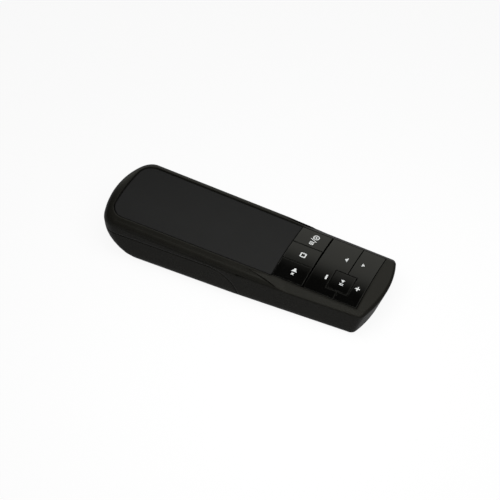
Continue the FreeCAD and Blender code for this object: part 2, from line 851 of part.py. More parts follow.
def base_cover():
    """Flush cover under the front half, with the laser's cradle seat and the switch slot."""
    flange = floor_block("hatch_plate", ("-hatch_back", "hatch_front"),
                         ("-hatch_half_width", "hatch_half_width"),
                         ("0", "hatch_flange - fit"))
    back = "-hatch_back + hatch_ledge"
    front = "hatch_front - hatch_ledge"
    plug = floor_block("hatch_plug", (back, front),
                       ("-hatch_half_width + hatch_ledge", "hatch_half_width - hatch_ledge"),
                       ("0", "hatch_top"))
    lip = floor_block("hatch_tongue", (front + " - hatch_ledge", front + " + hatch_ledge"),
                      ("-hatch_half_width / 2", "hatch_half_width / 2"),
                      ("hatch_top - hatch_plug / 2", "hatch_top + hatch_plug / 2"))
    clear = floor_block("tongue_clear", (front + " - fit", front + " + 2 * hatch_ledge"),
                        ("-hatch_half_width", "hatch_half_width"), ("hatch_flange - fit", "hatch_top - fit"))
    slot = floor_block("switch_slot",
                       ("switch_place - knob_half_length - running_gap",
                        "switch_place + knob_half_length + switch_travel + running_gap"),
                       ("-knob_half_width - running_gap", "knob_half_width + running_gap"),
                       ("-overrun", "overrun"))
    holes = []
    for x, y in hatch_screw_places():
        holes.append(floor_post("screw_way", "screw_radius + fit", x, y, ("-overrun", "overrun")))
        holes.append(floor_post("head_way", "screw_head_radius + fit", x, y, ("-overrun", HATCH_SEAT)))
    body = cut("hatch_body", fuse("hatch_parts", flange, plug, lip), clear)
    return cut("base_cover", body, slot, *holes)


# Keys
ROW_BACK = "(key_gap / 2)"
ROW_FRONT = "(row_depth - row_gap / 2)"
ROW_MIDDLE = "(row_depth / 2)"
KEY_THIRD = "(key_half_width * 2 / 3)"
CENTRE_MIDDLE = ("(centre_key_back + centre_key_front) / 2", "-(centre_key_near + centre_key_far) / 2")
PRESS_DEPTH = "-(carrier_depth + fit / 2)"
TILT_DEPTH = "-(carrier_depth + rocker_gap)"
NUB_TOP = "-(carrier_depth + press_travel + fit)"
ROW_STEMS = [(ROW_MIDDLE, "-" + KEY_THIRD), (ROW_MIDDLE, "0"), (ROW_MIDDLE, KEY_THIRD)]
BACK_STEMS = [("row_depth + back_stem_near", "-stem_side"), ("row_depth + back_stem_far", "stem_side")]
NEXT_STEMS = [("rocker_split + next_stem_near", "-stem_side"), ("rocker_split + next_stem_far", "stem_side")]
ALL_STEMS = ROW_STEMS + [CENTRE_MIDDLE] + BACK_STEMS + NEXT_STEMS
BACK_SPAN = ("(row_depth + row_gap / 2)", "(rocker_split - key_gap / 2)")
NEXT_SPAN = ("(rocker_split + key_gap / 2)", "(key_field - fit)")


def softened(name, base):
    """A key with its top edges rounded."""
    doc.recompute()
    rows = []
    for number, edge in enumerate(base.Shape.Edges, start=1):
        middle = edge.valueAt((edge.FirstParameter + edge.LastParameter) / 2)
        if on_crown(middle) and on_crown(edge.Vertexes[0].Point) and on_crown(edge.Vertexes[-1].Point):
            rows.append((number, S.key_edge, S.key_edge))
    return rounded(name, base, rows)


def key_cap(name, x, y, notches, stems, depth):
    """A hollow cap under the crowned deck, with stems that reach down to the mat."""
    full = common(name + "_block", crown(name + "_crown", "0"),
                  block(name + "_box", x, y, ("-key_skirt", "overrun")))
    room = block(name + "_room", ("(%s) + key_wall" % x[0], "(%s) - key_wall" % x[1]),
                 ("(%s) + key_wall" % y[0], "(%s) - key_wall" % y[1]), ("-overrun", "overrun"))
    hollow = common(name + "_hollow", crown(name + "_ceiling", "key_roof"), room)
    for across, along in notches:
        full = cut(name + "_notched", full, block(name + "_notch", across, along, ("-overrun", "overrun")))
        wall_x = ("(%s) - key_wall" % across[0], "(%s) + key_wall" % across[1])
        wall_y = ("(%s) - key_wall" % along[0], "(%s) + key_wall" % along[1])
        hollow = cut(name + "_hollow_notched", hollow,
                     block(name + "_notch_wall", wall_x, wall_y, ("-2 * overrun", "2 * overrun")))
    cap = cut(name + "_cap", softened(name + "_softened", full), hollow)
    posts = [post(name + "_stem", "plunger_radius", *place, (depth, "-key_roof")) for place in stems]
    return cap, posts


def row_key(name, place):
    """One of the three keys of the first row, with a hook under the shelf behind it."""
    middle = ROW_STEMS[place][1]
    y = ("%s - %s / 2 + key_gap / 2" % (middle, KEY_THIRD), "%s + %s / 2 - key_gap / 2" % (middle, KEY_THIRD))
    cap, posts = key_cap(name, (ROW_BACK, ROW_FRONT), y, [], [ROW_STEMS[place]], PRESS_DEPTH)
    hook_top = "-(deck_wall + running_gap) - (abs(%s) + hook_reach) ^ 2 / (2 * crown_radius)" % middle
    hook = block(name + "_hook", ("-hook_reach", ROW_BACK + " + key_wall"),
                 (middle + " - hook_reach", middle + " + hook_reach"),
                 (hook_top + " - hook_thickness", hook_top))
    return fuse(name, cap, hook, *posts)


def centre_key():
    """Small square key between the two rocker plates, held down by a flange under their edges."""
    cap, posts = key_cap("play_key", ("centre_key_back", "centre_key_front"),
                         ("-centre_key_near", "-centre_key_far"), [], [CENTRE_MIDDLE], PRESS_DEPTH)
    height = ("-key_skirt", "-key_skirt + flange_thickness")
    plate = block("flange_plate", ("centre_key_back - flange_reach", "centre_key_front + flange_reach"),
                  ("-centre_key_near - flange_reach", "-centre_key_far + flange_reach"), height)
    opening = block("flange_opening", ("centre_key_back + key_wall", "centre_key_front - key_wall"),
                    ("-centre_key_near + key_wall", "-centre_key_far - key_wall"), ("-overrun", "overrun"))
    return fuse("play_key", cap, cut("key_flange", plate, opening), *posts)


def rocker(name, span, stems):
    """A plate that tips about the axle under its middle."""
    notch = (("centre_key_back - key_gap", "centre_key_front + key_gap"),
             ("-centre_key_near - key_gap", "-centre_key_far + key_gap"))
    cap, posts = key_cap(name, span, ("-key_half_width", "key_half_width"), [notch], stems, TILT_DEPTH)
    ears = [rod(name + "_ear", "ear_radius", (span[0], span[0] + " + ear_thickness"), "axle_offset",
                "-axle_depth"),
            rod(name + "_ear", "ear_radius", (span[1] + " - ear_thickness", span[1]), "axle_offset",
                "-axle_depth")]
    reach = "(flange_reach + key_gap)"
    relief = block(name + "_relief", ("centre_key_back - " + reach, "centre_key_front + " + reach),
                   ("-centre_key_near - " + reach, "-centre_key_far + " + reach),
                   ("-overrun", "-key_skirt + flange_thickness + flange_room"))
    bore = rod(name + "_bore", "axle_radius + axle_clearance", ("0", "key_field + overrun"), "axle_offset",
               "-axle_depth")
    return cut(name, fuse(name + "_plate", cap, *(ears + posts)), relief, bore)


# What lies under the keys
def rocker_axle():
    """Steel pin on which both rocker plates tip."""
    along = (BACK_SPAN[0] + " + fit", NEXT_SPAN[1] + " - fit")
    return rod("rocker_axle", "axle_radius", along, "axle_offset", "-axle_depth")


def key_carrier():
    """Plate that guides the stems and carries the axle in four lugs."""
    plate_height = ("-mat_top", "-carrier_depth")
    solids = [block("carrier_plate", ("-carrier_back", "carrier_front"),
                    ("-carrier_half_width", "carrier_half_width"), plate_height),
              block("carrier_tab", ("carrier_front - carrier_tab", "carrier_front + carrier_tab"),
                    ("-carrier_tab_half_width", "carrier_tab_half_width"), plate_height)]
    for span in (BACK_SPAN, NEXT_SPAN):
        for start in (span[0] + " + ear_thickness + running_gap",
                      span[1] + " - ear_thickness - running_gap - lug_thickness"):
            along = (start, start + " + lug_thickness")
            solids.append(rod("axle_lug_head", "ear_radius", along, "axle_offset", "-axle_depth"))
            solids.append(block("axle_lug", along, ("axle_offset - ear_radius", "axle_offset + ear_radius"),
                                ("-carrier_depth - carrier_thickness / 2", "-axle_depth")))
    holes = [rod("axle_way", "axle_radius + axle_clearance", ("0", "key_field + overrun"), "axle_offset",
                 "-axle_depth")]
    for x, y in ALL_STEMS:
        holes.append(post("stem_way", "plunger_radius + running_gap", x, y,
                          ("-mat_top - fit", "-carrier_depth + fit")))
    for x, y, depth in board_screw_places()[2:]:
        solids.append(post("carrier_foot", "small_screw_radius + boss_wall", x, y,
                           ("-board_top", "-carrier_depth")))
        holes.append(post("carrier_way", "small_screw_radius + fit", x, y, ("-overrun", "overrun")))
    return cut("key_carrier", fuse("carrier_body", *solids), *holes)


def key_mat():
    """Silicone sheet with a nub under each stem and a rim that rests on the board."""
    sheet_form = block("mat_sheet", ("mat_back", "mat_front"), ("-mat_half_width", "mat_half_width"),
                       ("-board_top", "-mat_top"))
    under = block("mat_room", ("mat_back + mat_rim", "mat_front - mat_rim"),
                  ("-mat_half_width + mat_rim", "mat_half_width - mat_rim"), ("-overrun", "-mat_bottom"))
    nubs = [post("nub", "nub_radius", x, y, ("-mat_bottom", NUB_TOP)) for x, y in ALL_STEMS]
    return fuse("key_mat", cut("mat_body", sheet_form, under), *nubs)


def key_domes():
    """Snap domes on the board, one under each nub."""
    domes = []
    for x, y in ALL_STEMS:
        dome = doc.addObject("Part::Cone", "dome")
        tie(dome, Radius1="dome_radius", Radius2="dome_radius / 2", Height="dome_height")
        turn(dome, V(0, 1, 0), "deck_tilt")
        tie(dome, **deck_place(x, y, "-board_top"))
        domes.append(dome)
    return group("key_domes", *domes)


def circuit_board():
    """Board that hangs from the four bosses."""
    blank = block("board_blank", ("-board_back", "board_front"), ("-board_half_width", "board_half_width"),
                  ("-board_bottom", "-board_top"))
    ways = [post("board_way", "small_screw_radius + fit", x, y, ("-overrun", "overrun"))
            for x, y, depth in board_screw_places()]
    return cut("circuit_board", blank, *ways)


def chip(name, x, y, length, width, height):
    """A component on the underside of the board, given by its middle."""
    return block(name, ("%s - %s / 2" % (x, length), "%s + %s / 2" % (x, length)),
                 ("%s - %s / 2" % (y, width), "%s + %s / 2" % (y, width)),
                 ("-board_bottom - %s" % height, "-board_bottom"))


# The pointer's laser
def laser_barrel():
    """Brass barrel with a recess for its lens."""
    front = "(laser_back + laser_length)"
    full = floor_rod("barrel_full", "laser_radius", ("laser_back", front), "0", "laser_height")
    bore = floor_rod("barrel_bore", "laser_bore", (front + " - laser_recess", front + " + fit"), "0",
                     "laser_height")
    return cut("laser_barrel", full, bore)


def laser_lens():
    """Small collimating lens in the barrel's mouth."""
    front = "(laser_back + laser_length)"
    back = front + " - 2 * laser_lens_thickness"
    return floor_rod("laser_lens", "laser_bore", (back, front + " - laser_lens_thickness"), "0",
                     "laser_height")


def laser_cradle():
    """Saddle on the base cover that holds the barrel."""
    saddle = floor_block("cradle_block", ("cradle_place", "cradle_place + cradle_length"),
                         ("-cradle_half_width", "cradle_half_width"), ("hatch_top", "laser_height"))
    trough = floor_rod("cradle_trough", "laser_radius", ("0", "front_reach"), "0", "laser_height")
    return cut("laser_cradle", saddle, trough)


def front_window():
    """Clear plug flush with the front face, with a lip behind the wall."""
    wall_slice = cut("wall_slice", given("window_outside", front_block(0.0)),
                     given("window_middle", front_block(S.wall)))
    lip_slice = cut("lip_slice", given("lip_outside", front_block(S.wall)),
                    given("lip_inside", front_block(S.wall + S.window_lip)))
    along = ("0", "front_reach")
    stem = common("window_stem", wall_slice,
                  floor_rod("window_rod", "window_radius", along, "0", "laser_height"))
    lip = common("window_flange", lip_slice,
                 floor_rod("lip_rod", "window_radius + window_lip", along, "0", "laser_height"))
    return fuse("front_window", stem, lip)


# Batteries
def battery_tray():
    """Bay for two cells side by side, open towards the battery cover."""
    outside = floor_block("tray_outside", ("tray_rear - tray_wall", "tray_front + tray_wall"),
                          ("-tray_half_width", "tray_half_width"), ("wall + tray_foot", "tray_top"))
    inside = floor_block("tray_inside", ("tray_rear", "tray_front"),
                         ("-tray_half_width + tray_wall", "tray_half_width - tray_wall"),
                         ("-overrun", "tray_ceiling"))
    ways = [floor_post("tray_way", "small_screw_radius + fit", x, y, ("0", "overrun"))
            for x, y in tray_screw_places()]
    return cut("battery_tray", outside, inside, *ways)


def cell(name, y, tip_in_front):
    """One AAA cell with its raised positive tip."""
    rear = "-cell_back"
    front = "-cell_back + cell_length + cell_tip_length"
    can = (rear, front + " - cell_tip_length") if tip_in_front else (rear + " + cell_tip_length", front)
    return fuse(name, floor_rod(name + "_can", "cell_radius", can, y, "cell_height"),
                floor_rod(name + "_tip", "cell_tip_radius", (rear, front), y, "cell_height"))


def contact(name, side, in_front, spring):
    """A sheet metal contact that stands on a tray wall and reaches the cell."""
    y = "%scell_spacing" % side
    wall_x = "tray_front" if in_front else "tray_rear"
    way = "-" if in_front else "+"
    span = [wall_x, "%s %s contact_thickness" % (wall_x, way)]
    reach = ["%s %s contact_thickness / 2" % (wall_x, way), "%s %s contact_room" % (wall_x, way)]
    if in_front:
        span.reverse()
        reach.reverse()
    low = "(wall + tray_foot + contact_margin)"
    plate = floor_block(name + "_plate", span, (y + " - contact_half_width", y + " + contact_half_width"),
                        (low, low + " + contact_height"))
    button = floor_rod(name + "_button", "cell_tip_radius", reach, y, "cell_height")
    if not spring:
        return fuse(name, plate, button)
    hollow = floor_rod(name + "_hollow", "cell_tip_radius - contact_thickness", ("-rear_reach", "0"), y,
                       "cell_height")
    return fuse(name, plate, cut(name + "_ring", button, hollow))


# The stowed receiver
HEAD_BACK = "(-rear_reach + receiver_sink)"
HEAD_FRONT = "(-rear_reach + receiver_sink + receiver_head)"
PLUG_FRONT = "(-rear_reach + receiver_sink + receiver_head + plug_length)"
PLUG_LOW = "(-receiver_depth - receiver_height / 2 - plug_height / 2)"


def plug_shell():
    """Sheet metal shell of the plug, with two windows on either side of its lock."""
    outside = block("plug_outside", (HEAD_FRONT, PLUG_FRONT), ("-plug_half_width", "plug_half_width"),
                    (PLUG_LOW, PLUG_LOW + " + plug_height"))
    inside = block("plug_inside", (HEAD_FRONT + " - fit", PLUG_FRONT + " + fit"),
                   ("-plug_half_width + plug_sheet", "plug_half_width - plug_sheet"),
                   (PLUG_LOW + " + plug_sheet", PLUG_LOW + " + plug_height - plug_sheet"))
    along = (PLUG_FRONT + " - plug_window_place - plug_window", PLUG_FRONT + " - plug_window_place")
    windows = [block("plug_window_hole", along, ("%s - plug_window / 2" % y, "%s + plug_window / 2" % y),
                     ("-overrun", "overrun")) for y in ("-plug_window_side", "plug_window_side")]
    return cut("plug_shell", outside, inside, *windows)


def plug_tongue():
    """Plastic tongue with the plug's contacts."""
    return block("plug_tongue", (HEAD_FRONT, PLUG_FRONT + " - plug_sheet"),
                 ("-plug_half_width + plug_sheet", "plug_half_width - plug_sheet"),
                 (PLUG_LOW + " + plug_sheet", PLUG_LOW + " + plug_sheet + plug_tongue"))


# The power switch
def power_knob():
    """Ribbed slider in the base cover, with a stem up into the switch."""
    middle = "switch_place"
    slider = floor_block("knob_slider", (middle + " - knob_half_length", middle + " + knob_half_length"),
                         ("-knob_half_width", "knob_half_width"), ("knob_sink", "hatch_top - fit"))
    stem = floor_block("knob_stem", (middle + " - stem_half_length", middle + " + stem_half_length"),
                       ("-stem_half_width", "stem_half_width"),
                       ("hatch_top - 2 * fit", "hatch_top + switch_case / 2"))
    ridges = []
    for place in (-1, 0, 1):
        rib = "switch_place + %d * knob_half_length / 2" % place
        ridges.append(floor_block("knob_ridge", (rib + " - knob_ridge / 2", rib + " + knob_ridge / 2"),
                                  ("-knob_half_width", "knob_half_width"),
                                  ("knob_sink - knob_ridge", "knob_sink + fit")))
    return fuse("power_knob", slider, stem, *ridges)


def switch_case():
    """Slide switch over the slot in the base cover."""
    middle = "(switch_place + switch_travel / 2)"
    full = floor_block("case_full", (middle + " - switch_half_length", middle + " + switch_half_length"),
                       ("-switch_half_width", "switch_half_width"), ("hatch_top", "hatch_top + switch_case"))
    slot = floor_block("case_slot", ("switch_place - stem_half_length - running_gap",
                                     "switch_place + stem_half_length + switch_travel + running_gap"),
                       ("-stem_half_width - fit", "stem_half_width + fit"),
                       ("0", "hatch_top + switch_case / 2 + fit"))
    return cut("switch_case", full, slot)


# Fasteners
SCREW = ("screw_radius", "screw_head_radius", "screw_head", "screw_length")
SMALL_SCREW = ("small_screw_radius", "small_screw_head_radius", "small_screw_head", "small_screw_length")


def screw(name, x, y, seat, sizes, make_post, make_block):
    """A pan head screw that points up from its seat, with a slot in its head."""
    radius, head_radius, head, length = sizes
    shank = make_post(name + "_shank", radius, x, y, (seat, "%s + %s" % (seat, length)))
    cap = make_post(name + "_head", head_radius, x, y, ("%s - %s" % (seat, head), seat))
    slot = make_block(name + "_slot", ("%s - driver_width / 2" % x, "%s + driver_width / 2" % x),
                      ("%s - %s" % (y, head_radius), "%s + %s" % (y, head_radius)),
                      ("%s - %s - overrun" % (seat, head), "%s - %s + driver_depth" % (seat, head)))
    return cut(name, fuse(name + "_body", shank, cap), slot)


def hatch_screws():
    """The two screws of the base cover."""
    return group("hatch_screws", *[screw("hatch_screw", x, y, HATCH_SEAT, SCREW, floor_post, floor_block)
                                   for x, y in hatch_screw_places()])


def board_screws():
    """The four screws of the board."""
    return group("board_screws", *[screw("board_screw", x, y, "-board_bottom", SMALL_SCREW, post, block)
                                   for x, y, depth in board_screw_places()])


def tray_screws():
    """The two screws of the battery tray."""
    return group("tray_screws",
                 *[screw("tray_screw", x, y, "tray_ceiling", SMALL_SCREW, floor_post, floor_block)
                                  for x, y in tray_screw_places()])


# Assembly
outer = outer_form()
shell = cut("housing_shell", outer, inner_form())
sub_parts = {
    "upper_housing": upper_housing(shell, outer),
    "battery_cover": battery_cover(shell),
    "base_cover": base_cover(),
    "top_panel": top_panel(),
    "mute_key": row_key("mute_key", 0),
    "blank_key": row_key("blank_key", 1),
    "pointer_key": row_key("pointer_key", 2),
    "play_key": centre_key(),
    "back_rocker": rocker("back_rocker", BACK_SPAN, BACK_STEMS),
    "next_rocker": rocker("next_rocker", NEXT_SPAN, NEXT_STEMS),
    "rocker_axle": rocker_axle(),
    "key_carrier": key_carrier(),
    "key_mat": key_mat(),
    "key_domes": key_domes(),
    "circuit_board": circuit_board(),
    "controller_chip": chip("controller_chip", "-board_boss_front - chip_size", "0", "chip_size", "chip_size",
                            "chip_height"),
    "radio_module": chip("radio_module", "row_depth / 2", "0", "radio_length", "radio_width", "radio_height"),
    "crystal": chip("crystal", "-board_boss_front", "chip_size / 2", "crystal_length", "crystal_width",
                    "crystal_height"),
    "laser_barrel": laser_barrel(),
    "laser_lens": laser_lens(),
    "laser_cradle": laser_cradle(),
    "front_window": front_window(),
    "battery_tray": battery_tray(),
    "left_cell": cell("left_cell", "cell_spacing", True),
    "right_cell": cell("right_cell", "-cell_spacing", False),
    "positive_contacts": group("positive_contacts", contact("left_positive", "", True, False),
                               contact("right_positive", "-", False, False)),
    "negative_contacts": group("negative_contacts", contact("left_negative", "", False, True),
                               contact("right_negative", "-", True, True)),
    "receiver_head": receiver_space("receiver_head", "0", HEAD_BACK, HEAD_FRONT),
    "plug_shell": plug_shell(),
    "plug_tongue": plug_tongue(),
    "power_knob": power_knob(),
    "switch_case": switch_case(),
    "hatch_screws": hatch_screws(),
    "board_screws": board_screws(),
    "tray_screws": tray_screws(),
}
doc.recompute()

# Every object has to be sound before anything is written
for thing in doc.Objects:
    if "Invalid" in thing.State or "Error" in thing.State:
        raise RuntimeError("%s failed: %s" % (thing.Label, thing.State))
for name, thing in sub_parts.items():
    if thing.Shape.isNull() or not thing.Shape.isValid():
        raise RuntimeError("%s has no sound shape" % name)
    for other in doc.getObjectsByLabel(name):
        other.Label = name + "_stage"
    thing.Label = name
    thing.Shape.exportStep("parts/%s.step" % thing.Label)
    print("%-18s solids %d  volume %9.1f" % (name, len(thing.Shape.Solids), thing.Shape.Volume))
print("sub-parts:", len(sub_parts))
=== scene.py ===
# %% [markdown]
# This lesson dresses a wireless presentation clicker. Its pieces come ready made, at their real size, from
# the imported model, which is a fixed frame: nothing in it is moved or reshaped here. Blender adds finishes,
# printed symbols, springs and other small detail around it.

# %% Load the frame
import json
import math

import bmesh
import bpy
from mathutils import Matrix, Quaternion, Vector
from mathutils.bvhtree import BVHTree


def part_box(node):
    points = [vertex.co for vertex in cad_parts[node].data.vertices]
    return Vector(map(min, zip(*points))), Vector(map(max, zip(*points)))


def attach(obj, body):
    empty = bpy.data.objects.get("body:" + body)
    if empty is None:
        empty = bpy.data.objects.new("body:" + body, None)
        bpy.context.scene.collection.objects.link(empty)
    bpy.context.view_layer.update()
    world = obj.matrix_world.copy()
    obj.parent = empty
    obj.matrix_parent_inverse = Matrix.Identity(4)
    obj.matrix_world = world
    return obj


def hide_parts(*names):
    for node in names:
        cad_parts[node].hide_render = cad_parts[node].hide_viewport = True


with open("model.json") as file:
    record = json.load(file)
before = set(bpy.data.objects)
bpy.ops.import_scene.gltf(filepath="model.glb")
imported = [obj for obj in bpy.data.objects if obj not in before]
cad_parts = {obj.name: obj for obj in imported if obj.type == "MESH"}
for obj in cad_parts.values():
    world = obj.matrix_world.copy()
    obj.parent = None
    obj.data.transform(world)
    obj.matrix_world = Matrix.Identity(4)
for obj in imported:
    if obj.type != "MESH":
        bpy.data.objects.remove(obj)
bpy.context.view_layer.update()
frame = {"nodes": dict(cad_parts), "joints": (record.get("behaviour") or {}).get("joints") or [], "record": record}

nodes = frame["nodes"]

# %% [markdown]
# The object is small, so lengths are easier to read in millimetres. One constant turns them into metres.
# The joints say how the deck slopes: every key travels square into the deck, and the rocker plates tip about
# a pin that runs along it. From those two directions come places on the deck, measured from the middle of the
# front edge of the grip panel.

# %% Deck places
MM = 0.001
joints = {joint["name"]: joint for joint in frame["joints"]}
ALONG = Vector(joints["back_rocker_tilt"]["axis"]).normalized()
OUT = -Vector(joints["play_key_press"]["axis"]).normalized()
ACROSS = OUT.cross(ALONG)
DECK_START = Vector((20.05, 0, 20.7)) * MM


def on_deck(along, across, lift=0.0):
    """A point given in millimetres from the front edge of the grip panel."""
    return DECK_START + (ALONG * along + ACROSS * across + OUT * lift) * MM


def deck_box(name):
    """Lowest and highest deck places of a CAD node, in millimetres."""
    places = [[(vertex.co - DECK_START).dot(way) / MM for way in (ALONG, ACROSS, OUT)]
              for vertex in nodes[name].data.vertices]
    return [min(column) for column in zip(*places)], [max(column) for column in zip(*places)]


print("deck slopes by %.1f degrees" % math.degrees(math.asin(-ALONG.z)))
plate_spans = [[round(value, 1) for value in corner] for corner in deck_box("back_rocker")]
print("rear rocker plate spans", plate_spans)

# %% [markdown]
# The photograph was taken from the right front, high above the table, with a long lens and the camera turned
# a little about its own axis. The camera is placed by the point it looks at, its distance from that point and
# two angles; the turn about its own axis follows.

# %% Camera
CAMERA_AZIMUTH = 31.3772
CAMERA_ELEVATION = 47.4802
CAMERA_ROLL = -5.0280
CAMERA_AIM = Vector((5.672, -8.167, 21.171)) * MM
CAMERA_DISTANCE = 658.88 * MM
CAMERA_LENS = 108
SENSOR_WIDTH = 36


def make_camera():
    """Puts the camera where the photograph was taken from."""
    azimuth, elevation = math.radians(CAMERA_AZIMUTH), math.radians(CAMERA_ELEVATION)
    back = Vector((math.sin(azimuth) * math.cos(elevation), -math.cos(azimuth) * math.cos(elevation),
                   math.sin(elevation)))
    data = bpy.data.cameras.new("camera")
    data.lens = CAMERA_LENS
    data.sensor_width = SENSOR_WIDTH
    data.clip_start = CAMERA_DISTANCE / 100
    data.clip_end = CAMERA_DISTANCE * 20
    camera = bpy.data.objects.new("camera", data)
    bpy.context.scene.collection.objects.link(camera)
    camera.rotation_mode = "QUATERNION"
    camera.location = CAMERA_AIM + back * CAMERA_DISTANCE
    level = (-back).to_track_quat("-Z", "Y")
    camera.rotation_quaternion = level @ Quaternion((0, 0, 1), math.radians(CAMERA_ROLL))
    bpy.context.scene.camera = camera
    return camera


camera = make_camera()
print("camera at", [round(value / MM, 1) for value in camera.location])

# %% [markdown]
# Every material and the world are trees of nodes. Two small helpers keep the trees readable: one adds a node
# and sets its settings and sockets in the same line, the other joins two sockets.

# %% Node trees
def add(tree, kind, sockets=None, **settings):
    """A node of one kind; settings belong to the node, sockets are its inputs by name or number."""
    node = tree.nodes.new(kind)
    for name, value in settings.items():
        setattr(node, name, value)
    for name, value in (sockets or {}).items():
        node.inputs[name].default_value = value
    return node


def wire(tree, source, target):
    """Joins an output socket to an input socket."""
    tree.links.new(source, target)


def math_of(tree, operation, first, second=None, clamp=False):
    """A Math node between two sockets or numbers."""
    node = add(tree, "ShaderNodeMath", operation=operation, use_clamp=clamp)
    for place, value in enumerate((first, second)):
        if isinstance(value, (int, float)):
            node.inputs[place].default_value = value
        elif value is not None:
            wire(tree, value, node.inputs[place])
    return node.outputs[0]


def span(tree, value, source, target, smooth=True):
    """Maps one range of numbers to another, with soft ends."""
    node = add(tree, "ShaderNodeMapRange", {"From Min": source[0], "From Max": source[1],
                                            "To Min": target[0], "To Max": target[1]},
               interpolation_type="SMOOTHSTEP" if smooth else "LINEAR")
    wire(tree, value, node.inputs["Value"])
    return node.outputs["Result"]


def colour_mix(tree, share, first, second):
    """A mix of two colours, each a socket or a plain colour."""
    node = add(tree, "ShaderNodeMix", data_type="RGBA")
    wire(tree, share, node.inputs["Factor"])
    for name, value in (("A", first), ("B", second)):
        socket = next(item for item in node.inputs if item.name == name and item.type == "RGBA")
        if isinstance(value, tuple):
            socket.default_value = value + (1,)
        else:
            wire(tree, value, socket)
    return next(item for item in node.outputs if item.type == "RGBA")


# %% [markdown]
# The product lies on seamless white paper. The floor is one large sheet that shows only from above. To the
# camera and in reflections it is nearly white, and for the rest it is plain pale paper, so it still throws
# soft light up at the black sides and keeps the object's shadow.

# %% Floor
FLOOR_SIZE = 3.0
FLOOR_DROP = 0.02 * MM
FLOOR_COLOUR = (0.86, 0.86, 0.86, 1)
FLOOR_WHITE_SHARE = 0.92
FLOOR_MIRRORED = 0.22


def make_floor():
    """A plain pale floor, seen from above only."""
    mesh = bpy.data.meshes.new("floor")
    half = FLOOR_SIZE / 2
    mesh.from_pydata([(-half, -half, -FLOOR_DROP), (half, -half, -FLOOR_DROP), (half, half, -FLOOR_DROP),
                      (-half, half, -FLOOR_DROP)], [], [(0, 1, 2, 3)])
    sheet = bpy.data.objects.new("floor", mesh)
    bpy.context.scene.collection.objects.link(sheet)
    material = bpy.data.materials.new("floor_paper")
    material.use_nodes = True
    tree = material.node_tree
    tree.nodes.clear()
    path = add(tree, "ShaderNodeLightPath")
    glossy = path.outputs["Is Glossy Ray"]
    seen = math_of(tree, "MAXIMUM", path.outputs["Is Camera Ray"], path.outputs["Is Transmission Ray"])
    seen = math_of(tree, "MAXIMUM", seen, glossy)
    paper = add(tree, "ShaderNodeBsdfDiffuse", {"Color": FLOOR_COLOUR})
    white = add(tree, "ShaderNodeEmission", {"Color": (1, 1, 1, 1)})
    wire(tree, span(tree, glossy, (0.0, 1.0), (1.0, FLOOR_MIRRORED), smooth=False), white.inputs["Strength"])
    lit = add(tree, "ShaderNodeMixShader")
    wire(tree, math_of(tree, "MULTIPLY", seen, FLOOR_WHITE_SHARE), lit.inputs["Fac"])
    wire(tree, paper.outputs[0], lit.inputs[1])
    wire(tree, white.outputs[0], lit.inputs[2])
    one_sided = add(tree, "ShaderNodeMixShader")
    wire(tree, add(tree, "ShaderNodeNewGeometry").outputs["Backfacing"], one_sided.inputs["Fac"])
    wire(tree, lit.outputs[0], one_sided.inputs[1])
    wire(tree, add(tree, "ShaderNodeBsdfTransparent").outputs[0], one_sided.inputs[2])
    wire(tree, one_sided.outputs[0], add(tree, "ShaderNodeOutputMaterial").inputs["Surface"])
    mesh.materials.append(material)


make_floor()
print("floor is %.1f m wide" % FLOOR_SIZE)

# %% [markdown]
# A black gloss key shows little else than the room it mirrors. In the photograph the far keys are grey and
# the near ones black, the bevel beside the keys is lighter than the shoulder behind it, and so is the rim at
# the front end. Each tells where a white screen stood: behind the object, high behind the camera, and above
# the front end, with darkness between them. The world gives that room to reflections, an even level to
# everything else, and plain white to the camera.

# %% World
EVEN_LIGHT = 0.15
DARK_ROOM = 0.016
SCREEN_COLOUR = (1.0, 1.0, 0.90, 1)
SCREENS = {
    "far": (0.67, [("Y", 0.40, 0.66), ("X", 0.45, 0.15)]),
    "near": (2.30, [("Y", -0.42, -0.53), ("Z", 0.69, 0.78), ("X", -0.32, -0.22)]),
    "front": (1.20, [("X", -0.09, 0.00), ("X", 0.45, 0.25), ("Z", 0.45, 0.60)]),
}


def make_world():
    """The studio's walls for reflections, an even level for the rest and white for the camera."""
    world = bpy.data.worlds.new("studio")
    bpy.context.scene.world = world
    world.use_nodes = True
    tree = world.node_tree
    tree.nodes.clear()
    path = add(tree, "ShaderNodeLightPath")
    split = add(tree, "ShaderNodeSeparateXYZ")
    wire(tree, add(tree, "ShaderNodeTexCoord").outputs["Generated"], split.inputs[0])
    mirrored = None
    for level, sides in SCREENS.values():
        screen = None
        for axis, none, full in sides:
            side = span(tree, split.outputs[axis], (none, full), (0.0, 1.0))
            screen = math_of(tree, "MULTIPLY", side, level if screen is None else screen)
        mirrored = math_of(tree, "MAXIMUM", screen, DARK_ROOM if mirrored is None else mirrored)
    room = add(tree, "ShaderNodeBackground", {"Color": SCREEN_COLOUR})
    wire(tree, mirrored, room.inputs["Strength"])
    even = add(tree, "ShaderNodeBackground", {"Color": (1, 1, 1, 1), "Strength": EVEN_LIGHT})
    white = add(tree, "ShaderNodeBackground", {"Color": (1, 1, 1, 1), "Strength": 1.0})
    glossy = add(tree, "ShaderNodeMixShader")
    wire(tree, path.outputs["Is Glossy Ray"], glossy.inputs["Fac"])
    wire(tree, even.outputs[0], glossy.inputs[1])
    wire(tree, room.outputs[0], glossy.inputs[2])
    seen = add(tree, "ShaderNodeMixShader")
    wire(tree, path.outputs["Is Camera Ray"], seen.inputs["Fac"])
    wire(tree, glossy.outputs[0], seen.inputs[1])
    wire(tree, white.outputs[0], seen.inputs[2])
    wire(tree, seen.outputs[0], add(tree, "ShaderNodeOutputWorld").inputs["Surface"])
    return world


scene = bpy.context.scene
scene.view_settings.view_transform = "Standard"
print("world:", make_world().name)

